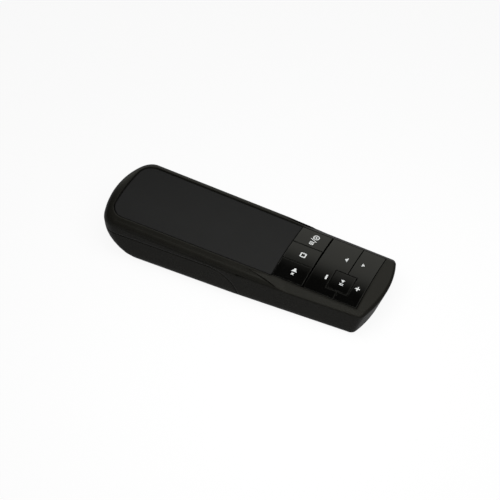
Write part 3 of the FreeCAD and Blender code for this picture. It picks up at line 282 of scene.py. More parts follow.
# %% [markdown]
# One soft square lamp gives the level at which a colour renders about as it is written. In the photograph the
# grip panel grows lighter towards the keys, most of all on the near side, so the lamp hangs rather low above
# that corner. It is left out of reflections, which the world already gives.

# %% Lamp
LAMP_PLACE = Vector((0.06, -0.05, 0.21))
LAMP_AIM = Vector((0.03, 0.0, 0.015))
LAMP_SIZE = 0.20
LAMP_POWER = 0.64


def make_lamp(name, place, aim, size, power):
    """A large soft square lamp that shines at the object."""
    data = bpy.data.lights.new(name, "AREA")
    data.shape = "SQUARE"
    data.size = size
    data.energy = power
    lamp = bpy.data.objects.new(name, data)
    scene.collection.objects.link(lamp)
    lamp.location = place
    lamp.rotation_mode = "QUATERNION"
    lamp.rotation_quaternion = (aim - place).to_track_quat("-Z", "Y")
    lamp.visible_glossy = False
    return lamp


print("lamp:", make_lamp("soft_lamp", LAMP_PLACE, LAMP_AIM, LAMP_SIZE, LAMP_POWER).name)

# %% [markdown]
# Moulded plastic is never one even surface. Effects that many finishes share are built once, as node groups
# with named inputs: the fine grain of the mould, the sharp edges that rub pale or carry a painted dark line of
# shade along seams, the small radius that every moulded edge has, the soft clouds that hands leave, and the
# hairlines of wiped surfaces.
# A group hands out only heights, masks and normals; the shader that uses them stays in each material.
# Patterns read Object coordinates, which here are metres on the object itself.

# %% Shared effects
def new_group(name, inputs, outputs):
    """An empty shader node group with number inputs, its outputs, and its two end nodes."""
    tree = bpy.data.node_groups.new(name, "ShaderNodeTree")
    for label, value in inputs.items():
        socket = tree.interface.new_socket(name=label, in_out="INPUT", socket_type="NodeSocketFloat")
        socket.default_value = value
    for label in outputs:
        kind = "NodeSocketVector" if label == "Normal" else "NodeSocketFloat"
        tree.interface.new_socket(name=label, in_out="OUTPUT", socket_type=kind)
    return tree, tree.nodes.new("NodeGroupInput"), tree.nodes.new("NodeGroupOutput")


def object_place(tree):
    """Where a point lies on the object, in metres."""
    return add(tree, "ShaderNodeTexCoord").outputs["Object"]


def noise(tree, scale, detail=2.0, roughness=0.5, place=None):
    """A noise on Object coordinates; the scale is a number or a socket."""
    node = add(tree, "ShaderNodeTexNoise", {"Detail": detail, "Roughness": roughness})
    wire(tree, place or object_place(tree), node.inputs["Vector"])
    if isinstance(scale, (int, float)):
        node.inputs["Scale"].default_value = scale
    else:
        wire(tree, scale, node.inputs["Scale"])
    return node.outputs["Fac"]


def make_grain_group():
    """Fine pits of an etched mould: a height and a mask of the paler grains."""
    tree, given, result = new_group("moulded_grain", {"Scale": 3000.0}, ["Height", "Speckle"])
    cells = add(tree, "ShaderNodeTexVoronoi", feature="F1")
    wire(tree, object_place(tree), cells.inputs["Vector"])
    wire(tree, given.outputs["Scale"], cells.inputs["Scale"])
    fine = noise(tree, given.outputs["Scale"], 3.0, 0.6)
    height = math_of(tree, "MULTIPLY_ADD", cells.outputs["Distance"], 0.6)
    wire(tree, fine, height.node.inputs[2])
    wire(tree, height, result.inputs["Height"])
    wire(tree, span(tree, fine, (0.42, 0.66), (0.0, 1.0)), result.inputs["Speckle"])
    return tree


def make_edge_group():
    """Where the surface turns sharply, for rubbed edges and for the painted dark line of shade along a seam."""
    tree, given, result = new_group("sharp_edges", {"Radius": 0.5 * MM, "Start": 0.0, "Full": 0.2,
                                                    "Uneven": 0.75}, ["Mask"])
    turned = add(tree, "ShaderNodeBevel", samples=6)
    wire(tree, given.outputs["Radius"], turned.inputs["Radius"])
    plain = add(tree, "ShaderNodeNewGeometry")
    dot = add(tree, "ShaderNodeVectorMath", operation="DOT_PRODUCT")
    wire(tree, turned.outputs["Normal"], dot.inputs[0])
    wire(tree, plain.outputs["Normal"], dot.inputs[1])
    sharp = math_of(tree, "SUBTRACT", 1.0, dot.outputs["Value"], clamp=True)
    strong = span(tree, sharp, (0.0, 1.0), (0.0, 1.0))
    wire(tree, given.outputs["Start"], strong.node.inputs["From Min"])
    wire(tree, given.outputs["Full"], strong.node.inputs["From Max"])
    missing = span(tree, noise(tree, 350.0, 4.0, 0.65), (0.35, 0.65), (1.0, 0.0))
    missing = math_of(tree, "MULTIPLY", missing, given.outputs["Uneven"])
    wire(tree, math_of(tree, "MULTIPLY", strong, math_of(tree, "SUBTRACT", 1.0, missing)),
         result.inputs["Mask"])
    return tree


def make_rounding_group():
    """The normal of a surface whose edges were rounded by a small radius."""
    tree, given, result = new_group("rounded_edges", {"Radius": 0.3 * MM}, ["Normal"])
    turned = add(tree, "ShaderNodeBevel", samples=8)
    wire(tree, given.outputs["Radius"], turned.inputs["Radius"])
    wire(tree, turned.outputs["Normal"], result.inputs["Normal"])
    return tree


def make_handling_group():
    """Soft clouds and small specks that handling and dust leave."""
    tree, given, result = new_group("handling", {"Scale": 70.0}, ["Clouds", "Specks"])
    wire(tree, span(tree, noise(tree, given.outputs["Scale"], 3.0, 0.55), (0.3, 0.7), (0.0, 1.0)),
         result.inputs["Clouds"])
    cells = add(tree, "ShaderNodeTexVoronoi", {"Scale": 900.0}, feature="F1")
    wire(tree, object_place(tree), cells.inputs["Vector"])
    dots = span(tree, cells.outputs["Distance"], (0.05, 0.11), (1.0, 0.0))
    sparse = span(tree, noise(tree, 260.0, 2.0), (0.58, 0.66), (0.0, 1.0))
    wire(tree, math_of(tree, "MULTIPLY", dots, sparse), result.inputs["Specks"])
    return tree


def make_hairline_group():
    """Fine lines along X, as wiping or brushing leaves them."""
    tree, given, result = new_group("hairlines", {"Scale": 2500.0, "Stretch": 0.03}, ["Lines"])
    stretch = add(tree, "ShaderNodeCombineXYZ", {"Y": 1.0, "Z": 1.0})
    wire(tree, given.outputs["Stretch"], stretch.inputs["X"])
    scaled = add(tree, "ShaderNodeVectorMath", operation="MULTIPLY")
    wire(tree, object_place(tree), scaled.inputs[0])
    wire(tree, stretch.outputs[0], scaled.inputs[1])
    wire(tree, span(tree, noise(tree, given.outputs["Scale"], 4.0, 0.7, scaled.outputs[0]), (0.35, 0.65),
                    (0.0, 1.0)), result.inputs["Lines"])
    return tree


GROUPS = {"grain": make_grain_group(), "edges": make_edge_group(), "rounding": make_rounding_group(),
          "handling": make_handling_group(), "hairlines": make_hairline_group()}
print("shared effects:", ", ".join(tree.name for tree in GROUPS.values()))


def effect(tree, name, **sockets):
    """One shared effect placed in a material, with its own values."""
    node = add(tree, "ShaderNodeGroup", node_tree=GROUPS[name])
    for label, value in sockets.items():
        node.inputs[label].default_value = value
    return node


# %% [markdown]
# Most of this object is moulded plastic or plain metal, so one recipe covers them: a base colour that
# wanders a little with the grain, edges of another tone, a roughness that clouds under fingers, and a fine
# bump. Edges that hands reach turn pale, and on finishes with a dark edge tone the seams and creases get a
# painted dark line of shade, where light doesn't reach.
# Each finish has its own numbers. The values that are the same all over a surface, such as the specular
# level, are set on the shader itself.

# %% The common recipe
def new_finish(name):
    """A material with its shader node."""
    material = bpy.data.materials.new(name)
    material.use_nodes = True
    tree = material.node_tree
    return material, tree, tree.nodes["Principled BSDF"]


def roughness(tree, shader, mask, levels):
    """Lets a mask set the roughness between two levels."""
    wire(tree, span(tree, mask, (0.0, 1.0), levels, smooth=False), shader.inputs["Roughness"])


def bump(tree, shader, height, depth):
    """Feeds a height, in metres of depth, to the shader's normal."""
    node = add(tree, "ShaderNodeBump", {"Strength": 1.0, "Distance": depth})
    wire(tree, height, node.inputs["Height"])
    wire(tree, node.outputs["Normal"], shader.inputs["Normal"])
    return node


CLOUD_SHARE, GRAIN_SHARE = 0.45, 0.55
EDGE_POLISH = -0.12
PALE_EDGE = 1.15


def moulded(name, colour, pale, edge_wear_and_shade, rough, grain, depth, shine=0.5, edge=0.5, sharp=(0.0, 0.2), uneven=0.75,
            soft=0.15):
    """Plastic from an etched or polished mould; paler with the grain, and at edges rubbed pale or, where the edge
    tone is dark, painted shade.
    """
    material, tree, shader = new_finish(name)
    grains = effect(tree, "grain", Scale=grain)
    edge_mask = effect(tree, "edges", Radius=edge * MM, Start=sharp[0], Full=sharp[1], Uneven=uneven)
    hands = effect(tree, "handling")
    mottled = math_of(tree, "MULTIPLY_ADD", hands.outputs["Clouds"], CLOUD_SHARE)
    wire(tree, math_of(tree, "MULTIPLY", grains.outputs["Speckle"], GRAIN_SHARE), mottled.node.inputs[2])
    base = colour_mix(tree, mottled, colour, pale)
    # At sharp edges the colour turns to the edge tone: rubbed paler on most finishes, a painted dark shade line on
    # the soft-touch coat and the grip panel.
    base = colour_mix(tree, edge_mask.outputs["Mask"], base, edge_wear_and_shade)
    wire(tree, base, shader.inputs["Base Color"])
    clouded = span(tree, hands.outputs["Clouds"], (0.0, 1.0), rough, smooth=False)
    rubbed = math_of(tree, "MULTIPLY_ADD", edge_mask.outputs["Mask"], EDGE_POLISH)
    wire(tree, clouded, rubbed.node.inputs[2])
    wire(tree, rubbed, shader.inputs["Roughness"])
    shader.inputs["Specular IOR Level"].default_value = shine
    relief = bump(tree, shader, grains.outputs["Height"], depth * MM)
    wire(tree, effect(tree, "rounding", Radius=soft * MM).outputs["Normal"], relief.inputs["Normal"])
    return material


def metal(name, colour, dull, rough, lines, depth, edge=0.15):
    """Plain metal with hairlines along the object and slightly tarnished patches."""
    material, tree, shader = new_finish(name)
    hair = effect(tree, "hairlines", Scale=lines)
    hands = effect(tree, "handling", Scale=160.0)
    edge_mask = effect(tree, "edges", Radius=edge * MM)
    base = colour_mix(tree, hands.outputs["Clouds"], colour, dull)
    polished = tuple(min(1.0, PALE_EDGE * value) for value in colour)
    base = colour_mix(tree, edge_mask.outputs["Mask"], base, polished)
    wire(tree, base, shader.inputs["Base Color"])
    shader.inputs["Metallic"].default_value = 1.0
    roughness(tree, shader, hair.outputs["Lines"], rough)
    bump(tree, shader, hair.outputs["Lines"], depth * MM)
    return material


# %% [markdown]
# The housing is sprayed with a soft-touch coat: almost black, slightly warm, with hardly any shine. The
# panel above it is a different part with a drier, bluer texture. The keys are polished and mirror the room,
# so they need a smooth surface with faint finger clouds. The parts under the shell keep the plain colours
# of moulded plastic.

# %% Plastics
FINISHES = {
    # The coat's edge tone is much darker than its base: painted shade along its seams, creases and sharp edges.
    "soft_touch": moulded("soft_touch", (0.0090, 0.0087, 0.0072), (0.0108, 0.0104, 0.0088),
                          (0.0022, 0.0021, 0.0018), (0.22, 0.30), 3200.0, 0.002, shine=0.12, edge=0.5,
                          sharp=(0.06, 0.14), uneven=0.1, soft=1.2),
    # The panel's edge tone is near black: a painted dark shade line in the gap around the panel.
    "matte_inlay": moulded("matte_inlay", (0.0148, 0.0149, 0.0146), (0.0180, 0.0181, 0.0177),
                           (0.0010, 0.0010, 0.0010), (0.74, 0.86), 2400.0, 0.010, shine=0.06, edge=0.80,
                           sharp=(0.01, 0.04), uneven=0.0, soft=0.3),
    "base_plastic": moulded("base_plastic", (0.0120, 0.0120, 0.0122), (0.0165, 0.0165, 0.0168),
                            (0.0300, 0.0300, 0.0300), (0.50, 0.64), 1800.0, 0.012, shine=0.35, edge=0.35),
    "gloss_key": moulded("gloss_key", (0.0010, 0.0010, 0.0009), (0.0014, 0.0014, 0.0013),
                         (0.0060, 0.0060, 0.0060), (0.09, 0.15), 900.0, 0.0005, shine=0.50, edge=0.15,
                         sharp=(0.0, 0.4), soft=0.30),
    "inner_plastic": moulded("inner_plastic", (0.045, 0.046, 0.049), (0.060, 0.061, 0.064),
                             (0.090, 0.090, 0.092), (0.45, 0.60), 1500.0, 0.010, shine=0.45, edge=0.3),
    "tongue_plastic": moulded("tongue_plastic", (0.70, 0.70, 0.66), (0.76, 0.76, 0.73), (0.82, 0.82, 0.80),
                              (0.35, 0.48), 1200.0, 0.006, shine=0.5, edge=0.2),
    "knob_plastic": moulded("knob_plastic", (0.100, 0.100, 0.105), (0.125, 0.125, 0.130),
                            (0.190, 0.190, 0.195), (0.42, 0.55), 1600.0, 0.010, shine=0.45, edge=0.2),
    "silicone": moulded("silicone", (0.50, 0.51, 0.52), (0.58, 0.59, 0.60), (0.64, 0.65, 0.66),
                        (0.40, 0.52), 700.0, 0.004, shine=0.4, edge=0.3),
    "chip": moulded("chip", (0.024, 0.024, 0.026), (0.034, 0.034, 0.036), (0.050, 0.050, 0.052),
                    (0.50, 0.62), 2600.0, 0.008, shine=0.45, edge=0.1),
}
silicone_shader = FINISHES["silicone"].node_tree.nodes["Principled BSDF"]
silicone_shader.inputs["Subsurface Weight"].default_value = 0.25
silicone_shader.inputs["Subsurface Scale"].default_value = 0.5 * MM
print("plastics:", ", ".join(FINISHES))

# %% Metals
FINISHES.update({
    "steel": metal("steel", (0.60, 0.60, 0.61), (0.50, 0.50, 0.50), (0.22, 0.38), 3000.0, 0.002),
    "shield": metal("shield", (0.62, 0.62, 0.61), (0.55, 0.55, 0.53), (0.30, 0.44), 1500.0, 0.003),
    "contact_plate": metal("contact_plate", (0.74, 0.73, 0.70), (0.66, 0.65, 0.62), (0.14, 0.26), 2200.0,
                           0.001),
    "brass": metal("brass", (0.68, 0.52, 0.24), (0.58, 0.44, 0.20), (0.20, 0.34), 2800.0, 0.002),
    "black_screw": metal("black_screw", (0.060, 0.058, 0.056), (0.035, 0.034, 0.033), (0.30, 0.46), 2600.0,
                         0.003),
})
print("finishes so far:", len(FINISHES))

# %% [markdown]
# Four finishes carry a pattern of their own. The board shows copper tracks under its green mask. A battery
# has a plain dark wrap between two bare ends, and no lettering. The lens is clear glass. The window is dark
# red plastic that lets only the pointer's light through.

# %% Board
TRACK_PITCH = 1.4 * MM


def make_board_finish():
    """Green mask over tracks that run both ways, with small tinned holes where they meet."""
    material, tree, shader = new_finish("board")
    split = add(tree, "ShaderNodeSeparateXYZ")
    wire(tree, object_place(tree), split.inputs[0])
    patches = noise(tree, 90.0, 1.0)
    lines = []
    for axis, low in (("X", 0.52), ("Y", 0.40)):
        cycle = math_of(tree, "FRACT", math_of(tree, "DIVIDE", split.outputs[axis], TRACK_PITCH))
        off_middle = math_of(tree, "ABSOLUTE", math_of(tree, "SUBTRACT", cycle, 0.5))
        line = span(tree, off_middle, (0.13, 0.17), (1.0, 0.0))
        keep = span(tree, patches, (low, low + 0.03), (0.0, 1.0) if axis == "X" else (1.0, 0.0))
        lines.append((math_of(tree, "MULTIPLY", line, keep), off_middle))
    tracks = math_of(tree, "MAXIMUM", lines[0][0], lines[1][0])
    apart = math_of(tree, "ADD", math_of(tree, "POWER", lines[0][1], 2.0),
                    math_of(tree, "POWER", lines[1][1], 2.0))
    chosen = span(tree, noise(tree, 700.0, 0.0), (0.60, 0.62), (0.0, 1.0))
    holes = math_of(tree, "MULTIPLY", span(tree, apart, (0.02, 0.03), (1.0, 0.0)), chosen)
    base = colour_mix(tree, tracks, (0.008, 0.085, 0.030), (0.018, 0.150, 0.055))
    base = colour_mix(tree, holes, base, (0.62, 0.60, 0.50))
    edge_mask = effect(tree, "edges", Radius=0.1 * MM)
    wire(tree, colour_mix(tree, edge_mask.outputs["Mask"], base, (0.30, 0.27, 0.16)), shader.inputs["Base Color"])
    hands = effect(tree, "handling")
    roughness(tree, shader, hands.outputs["Clouds"], (0.24, 0.38))
    bump(tree, shader, math_of(tree, "MAXIMUM", tracks, holes), 0.03 * MM)
    return material


FINISHES["board"] = make_board_finish()
print("board tracks every %.1f mm" % (TRACK_PITCH / MM))

# %% Battery wrap
cell_low, cell_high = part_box("left_cell")
BARE_END = 1.6 * MM


def make_wrap_finish():
    """Dark foil with a plain pale band at the positive end, between two bare steel ends."""
    material, tree, shader = new_finish("cell_wrap")
    split = add(tree, "ShaderNodeSeparateXYZ")
    wire(tree, object_place(tree), split.inputs[0])
    side = span(tree, split.outputs["Y"], (-0.1 * MM, 0.1 * MM), (-1.0, 1.0))
    from_middle = math_of(tree, "SUBTRACT", split.outputs["X"], (cell_low.x + cell_high.x) / 2)
    x = math_of(tree, "MULTIPLY", from_middle, side)
    end = (cell_high.x - cell_low.x) / 2 - BARE_END
    start = -end
    wrap = math_of(tree, "MULTIPLY", span(tree, x, (start, start + 0.1 * MM), (0.0, 1.0)),
                   span(tree, x, (end - 0.1 * MM, end), (1.0, 0.0)))
    hands = effect(tree, "handling", Scale=220.0)
    hair = effect(tree, "hairlines", Scale=1800.0, Stretch=0.2)
    third = (end - start) / 3
    band = span(tree, x, (end - third, end - third + 0.1 * MM), (0.0, 1.0))
    foil = colour_mix(tree, band, (0.020, 0.022, 0.026), (0.33, 0.34, 0.35))
    foil = colour_mix(tree, math_of(tree, "MULTIPLY", hands.outputs["Specks"], 0.5), foil, (0.5, 0.5, 0.5))
    wire(tree, colour_mix(tree, wrap, (0.60, 0.60, 0.59), foil), shader.inputs["Base Color"])
    wire(tree, span(tree, wrap, (0.0, 1.0), (1.0, 0.25)), shader.inputs["Metallic"])
    roughness(tree, shader, hair.outputs["Lines"], (0.22, 0.36))
    bump(tree, shader, wrap, 0.08 * MM)
    return material


FINISHES["cell_wrap"] = make_wrap_finish()
print("cells are %.1f mm long" % ((cell_high.x - cell_low.x) / MM))

# %% Clear pieces
def clear(name, colour, rough):
    """Clear glass or plastic with faint wiping marks."""
    material, tree, shader = new_finish(name)
    hands = effect(tree, "handling", Scale=400.0)
    hair = effect(tree, "hairlines", Scale=3000.0, Stretch=0.5)
    shader.inputs["Transmission Weight"].default_value = 1.0
    shader.inputs["IOR"].default_value = 1.49
    tinted = colour_mix(tree, hands.outputs["Clouds"], colour, tuple(0.92 * value for value in colour))
    wire(tree, tinted, shader.inputs["Base Color"])
    roughness(tree, shader, hair.outputs["Lines"], rough)
    bump(tree, shader, hair.outputs["Lines"], 0.0005 * MM)
    return material


FINISHES["lens"] = clear("lens", (0.92, 0.93, 0.95), (0.02, 0.06))
FINISHES["window"] = clear("window", (0.16, 0.010, 0.010), (0.04, 0.10))

# %% [markdown]
# Each CAD node says in the record which finish it wants. The finish is assigned to the object's own material
# slots; the mesh itself stays as it came.

# %% Dress the CAD nodes
for row in frame["record"]["subparts"]:
    for material_slot in nodes[row["node"]].material_slots:
        material_slot.material = FINISHES[row["material_slot"]]
print("dressed", len(nodes), "nodes with", len(FINISHES), "finishes")

# %% [markdown]
# The symbols are printed on the keys in white ink. Ink has a real thickness, though a small one, so each
# symbol is a thin closed plate that follows the crowned key: its corners are dropped onto the key along the
# key's own travel. Drawn flat, the reader's up is towards the front end and the reader's right is the near
# side.

# %% Printed plates
INK_LIFT = 0.03 * MM
INK_DEPTH = 0.03 * MM
DROP_FROM = 20 * MM


def make_ink():
    """White printing ink, slightly uneven."""
    material, tree, shader = new_finish("printed_ink")
    hands = effect(tree, "handling", Scale=500.0)
    grains = effect(tree, "grain", Scale=5000.0)
    ink = colour_mix(tree, hands.outputs["Clouds"], (0.60, 0.61, 0.60), (0.52, 0.54, 0.54))
    wire(tree, ink, shader.inputs["Base Color"])
    roughness(tree, shader, hands.outputs["Clouds"], (0.35, 0.5))
    bump(tree, shader, grains.outputs["Height"], 0.002 * MM)
    return material


INK = make_ink()


class Printer:
    """Drops flat outlines onto a surface and collects them in one mesh."""

    def __init__(self, surfaces, start, right, up, out):
        self.trees = [BVHTree.FromPolygons([vertex.co for vertex in surface.data.vertices],
                                           [face.vertices for face in surface.data.polygons])
                      for surface in surfaces]
        self.start, self.right, self.up, self.out = start, right, up, out
        self.form = bmesh.new()

    def point(self, place, lift):
        """The surface under a flat place, raised by the lift."""
        above = self.start + (self.right * place[0] + self.up * place[1]) * MM + self.out * DROP_FROM
        hits = [hit for hit in (tree.ray_cast(above, -self.out)[0] for tree in self.trees) if hit]
        return max(hits, key=lambda hit: hit.dot(self.out)) + self.out * lift

    def rings(self, outline, hole=None):
        """Top and bottom vertices of an outline, and of its hole."""
        return [[self.form.verts.new(self.point(place, lift)) for place in loop]
                for loop in (outline, hole) if loop for lift in (INK_LIFT, -INK_DEPTH)]

    def plate(self, outline):
        """A closed plate inside one outline, drawn anticlockwise as the reader sees it."""
        top, low = self.rings(outline)
        self.form.faces.new(top)
        self.form.faces.new(reversed(low))
        for place in range(len(top)):
            after = (place + 1) % len(top)
            self.form.faces.new((top[place], low[place], low[after], top[after]))

    def band(self, outline, hole):
        """A closed plate between an outline and a hole with as many corners."""
        top, low, inner_top, inner_low = self.rings(outline, hole)
        for place in range(len(top)):
            after = (place + 1) % len(top)
            self.form.faces.new((top[place], top[after], inner_top[after], inner_top[place]))
            self.form.faces.new((low[after], low[place], inner_low[place], inner_low[after]))
            self.form.faces.new((top[place], low[place], low[after], top[after]))
            self.form.faces.new((inner_top[after], inner_low[after], inner_low[place], inner_top[place]))

    def done(self, name, body, material):
        """The collected plates as one piece that rides on a body."""
        bmesh.ops.recalc_face_normals(self.form, faces=self.form.faces)
        mesh = bpy.data.meshes.new(name)
        self.form.to_mesh(mesh)
        self.form.free()
        mesh.materials.append(material)
        piece = bpy.data.objects.new(name, mesh)
        scene.collection.objects.link(piece)
        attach(piece, body)
        print("%-14s faces %4d on %s" % (name, len(mesh.polygons), body))
        return piece


def box_outline(x, y, wide, high, turn=0.0):
    """A rectangle about a middle point, turned by degrees."""
    angle = math.radians(turn)
    corners = [(-wide / 2, -high / 2), (wide / 2, -high / 2), (wide / 2, high / 2), (-wide / 2, high / 2)]
    return [(x + a * math.cos(angle) - b * math.sin(angle), y + a * math.sin(angle) + b * math.cos(angle))
            for a, b in corners]


def round_outline(x, y, radius, count=24):
    """A circle as many short sides."""
    return [(x + radius * math.cos(math.tau * step / count), y + radius * math.sin(math.tau * step / count))
            for step in range(count)]


def soft_box_outline(wide, high, radius, steps=4):
    """A rectangle about the start with rounded corners."""
    outline = []
    for corner, (a, b) in enumerate([(1, -1), (1, 1), (-1, 1), (-1, -1)]):
        for step in range(steps + 1):
            angle = math.radians(90 * (corner - 1) + 90 * step / steps)
            outline.append((a * (wide / 2 - radius) + radius * math.cos(angle),
                            b * (high / 2 - radius) + radius * math.sin(angle)))
    return outline


def key_printer(keys, along, across):
    """A printer for key tops, centred on a deck place."""
    return Printer([nodes[key] for key in keys], on_deck(along, across), -ACROSS, ALONG, OUT)


# %% Symbols of the first row
pointer = key_printer(["pointer_key"], 8.0, 10.0)
pointer.band(round_outline(-1.95, 0.35, 1.50), round_outline(-1.95, 0.35, 1.02))
pointer.plate(round_outline(-1.95, 0.35, 0.48, 16))
pointer.plate(box_outline(0.10, 0.0, 0.34, 3.5, -24))
for column in range(3):
    for line in range(3):
        pointer.plate(box_outline(1.35 + 0.72 * column, -0.85 + 0.72 * line, 0.56, 0.56))
pointer.done("pointer_symbol", "pointer_key", INK)

blank = key_printer(["blank_key"], 7.8, -0.4)
blank.band(soft_box_outline(2.6, 2.8, 0.55), soft_box_outline(1.5, 1.7, 0.2))
blank.done("blank_symbol", "blank_key", INK)

mute = key_printer(["mute_key"], 8.2, -10.0)
mute.plate([(-1.55, -0.5), (-0.85, -0.5), (0.25, -1.35), (0.25, 1.35), (-0.85, 0.5), (-1.55, 0.5)])
for turn in (45, -45):
    mute.plate(box_outline(1.45, -0.1, 1.6, 0.36, turn))
mute.done("mute_symbol", "mute_key", INK)

# %% Symbols of the rocker plates and the small key
back = key_printer(["back_rocker"], 25.7, 6.2)
back.plate([(0.0, -0.75), (1.25, 0.65), (-1.25, 0.65)])
back.start = on_deck(22.1, -6.6)
back.plate(box_outline(0, 0, 2.35, 0.80))
back.done("back_symbols", "back_rocker", INK)

ahead = key_printer(["next_rocker"], 33.6, 6.6)
ahead.plate([(-1.00, -0.60), (1.00, -0.60), (0.0, 0.75)])
ahead.start = on_deck(36.9, -6.5)
ahead.plate([(0.27, 0.27), (0.27, 1.10), (-0.27, 1.10), (-0.27, 0.27), (-1.10, 0.27), (-1.10, -0.27),
             (-0.27, -0.27), (-0.27, -1.10), (0.27, -1.10), (0.27, -0.27), (1.10, -0.27), (1.10, 0.27)])
ahead.done("next_symbols", "next_rocker", INK)

play = key_printer(["play_key"], 29.5, -6.6)
play.plate([(-1.60, -0.90), (-0.15, 0.0), (-1.60, 0.90)])
for shift in (0.50, 1.15):
    play.plate(box_outline(shift, 0, 0.34, 1.8))
play.done("play_symbol", "play_key", INK)

# %% [markdown]
# Inside the battery tray each cell rests on a coil spring at its flat end. The model has a plain cone there.
# A spring is one wire wound many times, so Geometry Nodes draws it: a narrowing spiral, a round wire swept
# along it, and a plate with raised rails behind it. The tree takes its sizes as named inputs, and the result
# is turned into a plain mesh.

# %% Shapes from node trees
def new_shape_tree(name, inputs):
    """An empty Geometry Nodes tree with named number inputs and one geometry output."""
    tree = bpy.data.node_groups.new(name, "GeometryNodeTree")
    for label, value in inputs.items():
        kind = "NodeSocketInt" if isinstance(value, int) else "NodeSocketFloat"
        socket = tree.interface.new_socket(name=label, in_out="INPUT", socket_type=kind)
        socket.default_value = value
    tree.interface.new_socket(name="Geometry", in_out="OUTPUT", socket_type="NodeSocketGeometry")
    return tree, tree.nodes.new("NodeGroupInput"), tree.nodes.new("NodeGroupOutput")


def finish_tree(tree, geometry, result, material):
    """Ends a tree with one real mesh in one material."""
    real = add(tree, "GeometryNodeRealizeInstances")
    wire(tree, geometry, real.inputs[0])
    painted = add(tree, "GeometryNodeSetMaterial", {"Material": material})
    wire(tree, real.outputs[0], painted.inputs[0])
    wire(tree, painted.outputs[0], result.inputs[0])


def grow(tree, **sizes):
    """The mesh a tree gives for the sizes, as a new mesh with no modifier."""
    seed = bpy.data.objects.new("seed", bpy.data.meshes.new("seed"))
    scene.collection.objects.link(seed)
    modifier = seed.modifiers.new("shape", "NODES")
    modifier.node_group = tree
    for item in tree.interface.items_tree:
        if item.in_out == "INPUT" and item.name in sizes:
            modifier[item.identifier] = sizes[item.name]
    graph = bpy.context.evaluated_depsgraph_get()
    mesh = bpy.data.meshes.new_from_object(seed.evaluated_get(graph), depsgraph=graph)
    bpy.data.objects.remove(seed)
    return mesh


def make_spring_tree(material):
    """A narrowing coil of wire along Z."""
    tree, given, result = new_shape_tree("coil_spring", {"Turns": 3.5, "Wide": 3.4 * MM, "Narrow": 2.2 * MM,
                                                         "Length": 1.9 * MM, "Wire": 0.22 * MM})
    coil = add(tree, "GeometryNodeCurveSpiral", {"Resolution": 40})
    for label, socket in (("Turns", "Rotations"), ("Wide", "Start Radius"), ("Narrow", "End Radius"),
                          ("Length", "Height")):
        wire(tree, given.outputs[label], coil.inputs[socket])
    outline = add(tree, "GeometryNodeCurvePrimitiveCircle", {"Resolution": 10})
    wire(tree, given.outputs["Wire"], outline.inputs["Radius"])
    swept = add(tree, "GeometryNodeCurveToMesh", {"Fill Caps": True})
    wire(tree, coil.outputs[0], swept.inputs["Curve"])
    wire(tree, outline.outputs[0], swept.inputs["Profile Curve"])
    finish_tree(tree, swept.outputs[0], result, material)
    return tree


def box_into(form, low, high, soft=0.0):
    """A box with softened edges, added to a bmesh."""
    made = bmesh.ops.create_cube(form, size=1.0)["verts"]
    for vertex in made:
        vertex.co = Vector([low[axis] + (vertex.co[axis] + 0.5) * (high[axis] - low[axis])
                            for axis in range(3)])
    if soft:
        edges = list({edge for vertex in made for edge in vertex.link_edges})
        bmesh.ops.bevel(form, geom=edges, offset=soft, segments=2, affect="EDGES")


def piece_from(form, name, material):
    """A finished piece from a bmesh, in one material."""
    bmesh.ops.recalc_face_normals(form, faces=form.faces)
    mesh = bpy.data.meshes.new(name)
    form.to_mesh(mesh)
    form.free()
    mesh.materials.append(material)
    piece = bpy.data.objects.new(name, mesh)
    scene.collection.objects.link(piece)
    return piece


# %% Spring contacts
PLATE_THICK = 0.30 * MM
PLATE_SOFT = PLATE_THICK / 4
PLATE_RAIL = 0.9 * MM
COIL_START = 0.1 * MM
COIL_ROOM = 0.3 * MM
contacts_low, contacts_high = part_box("negative_contacts")
spring_tree = make_spring_tree(FINISHES["contact_plate"])
contacts = bmesh.new()
for cell, end in (("left_cell", -1), ("right_cell", 1)):
    low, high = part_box(cell)
    middle = (low + high) / 2
    outer = contacts_low.x if end < 0 else contacts_high.x
    inner = low.x if end < 0 else high.x
    edges = sorted((outer, outer - end * PLATE_THICK))
    half = contacts_high.y - middle.y if end < 0 else middle.y - contacts_low.y
    box_into(contacts, (edges[0], middle.y - half, contacts_low.z),
             (edges[1], middle.y + half, contacts_high.z), PLATE_SOFT)
    for side in (-1, 1):
        rail = sorted((middle.y + side * half, middle.y + side * (half - PLATE_THICK)))
        reach = sorted((outer, outer - end * PLATE_RAIL))
        box_into(contacts, (reach[0], rail[0], contacts_low.z), (reach[1], rail[1], contacts_high.z),
                 PLATE_SOFT)
    coil = grow(spring_tree, Length=abs(inner - outer) - PLATE_THICK - COIL_ROOM)
    way = Vector((-end, 0, 0)).to_track_quat("Z", "Y").to_matrix().to_4x4()
    coil.transform(Matrix.Translation((outer - end * (PLATE_THICK + COIL_START), middle.y, middle.z)) @ way)
    contacts.from_mesh(coil)
spring_contacts = piece_from(contacts, "spring_contacts", FINISHES["contact_plate"])
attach(spring_contacts, "housing")
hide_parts("negative_contacts")
print("spring contacts:", len(spring_contacts.data.polygons), "faces")

# %% [markdown]
# The controller stands on two rows of bent leads. One lead is drawn once, in three short bars: out of the
# case, down to the board, and a foot on its pad. Geometry Nodes repeats it along both long sides. Around the
# chip stand the small parts that any radio board carries, each a ceramic body between two tinned ends.

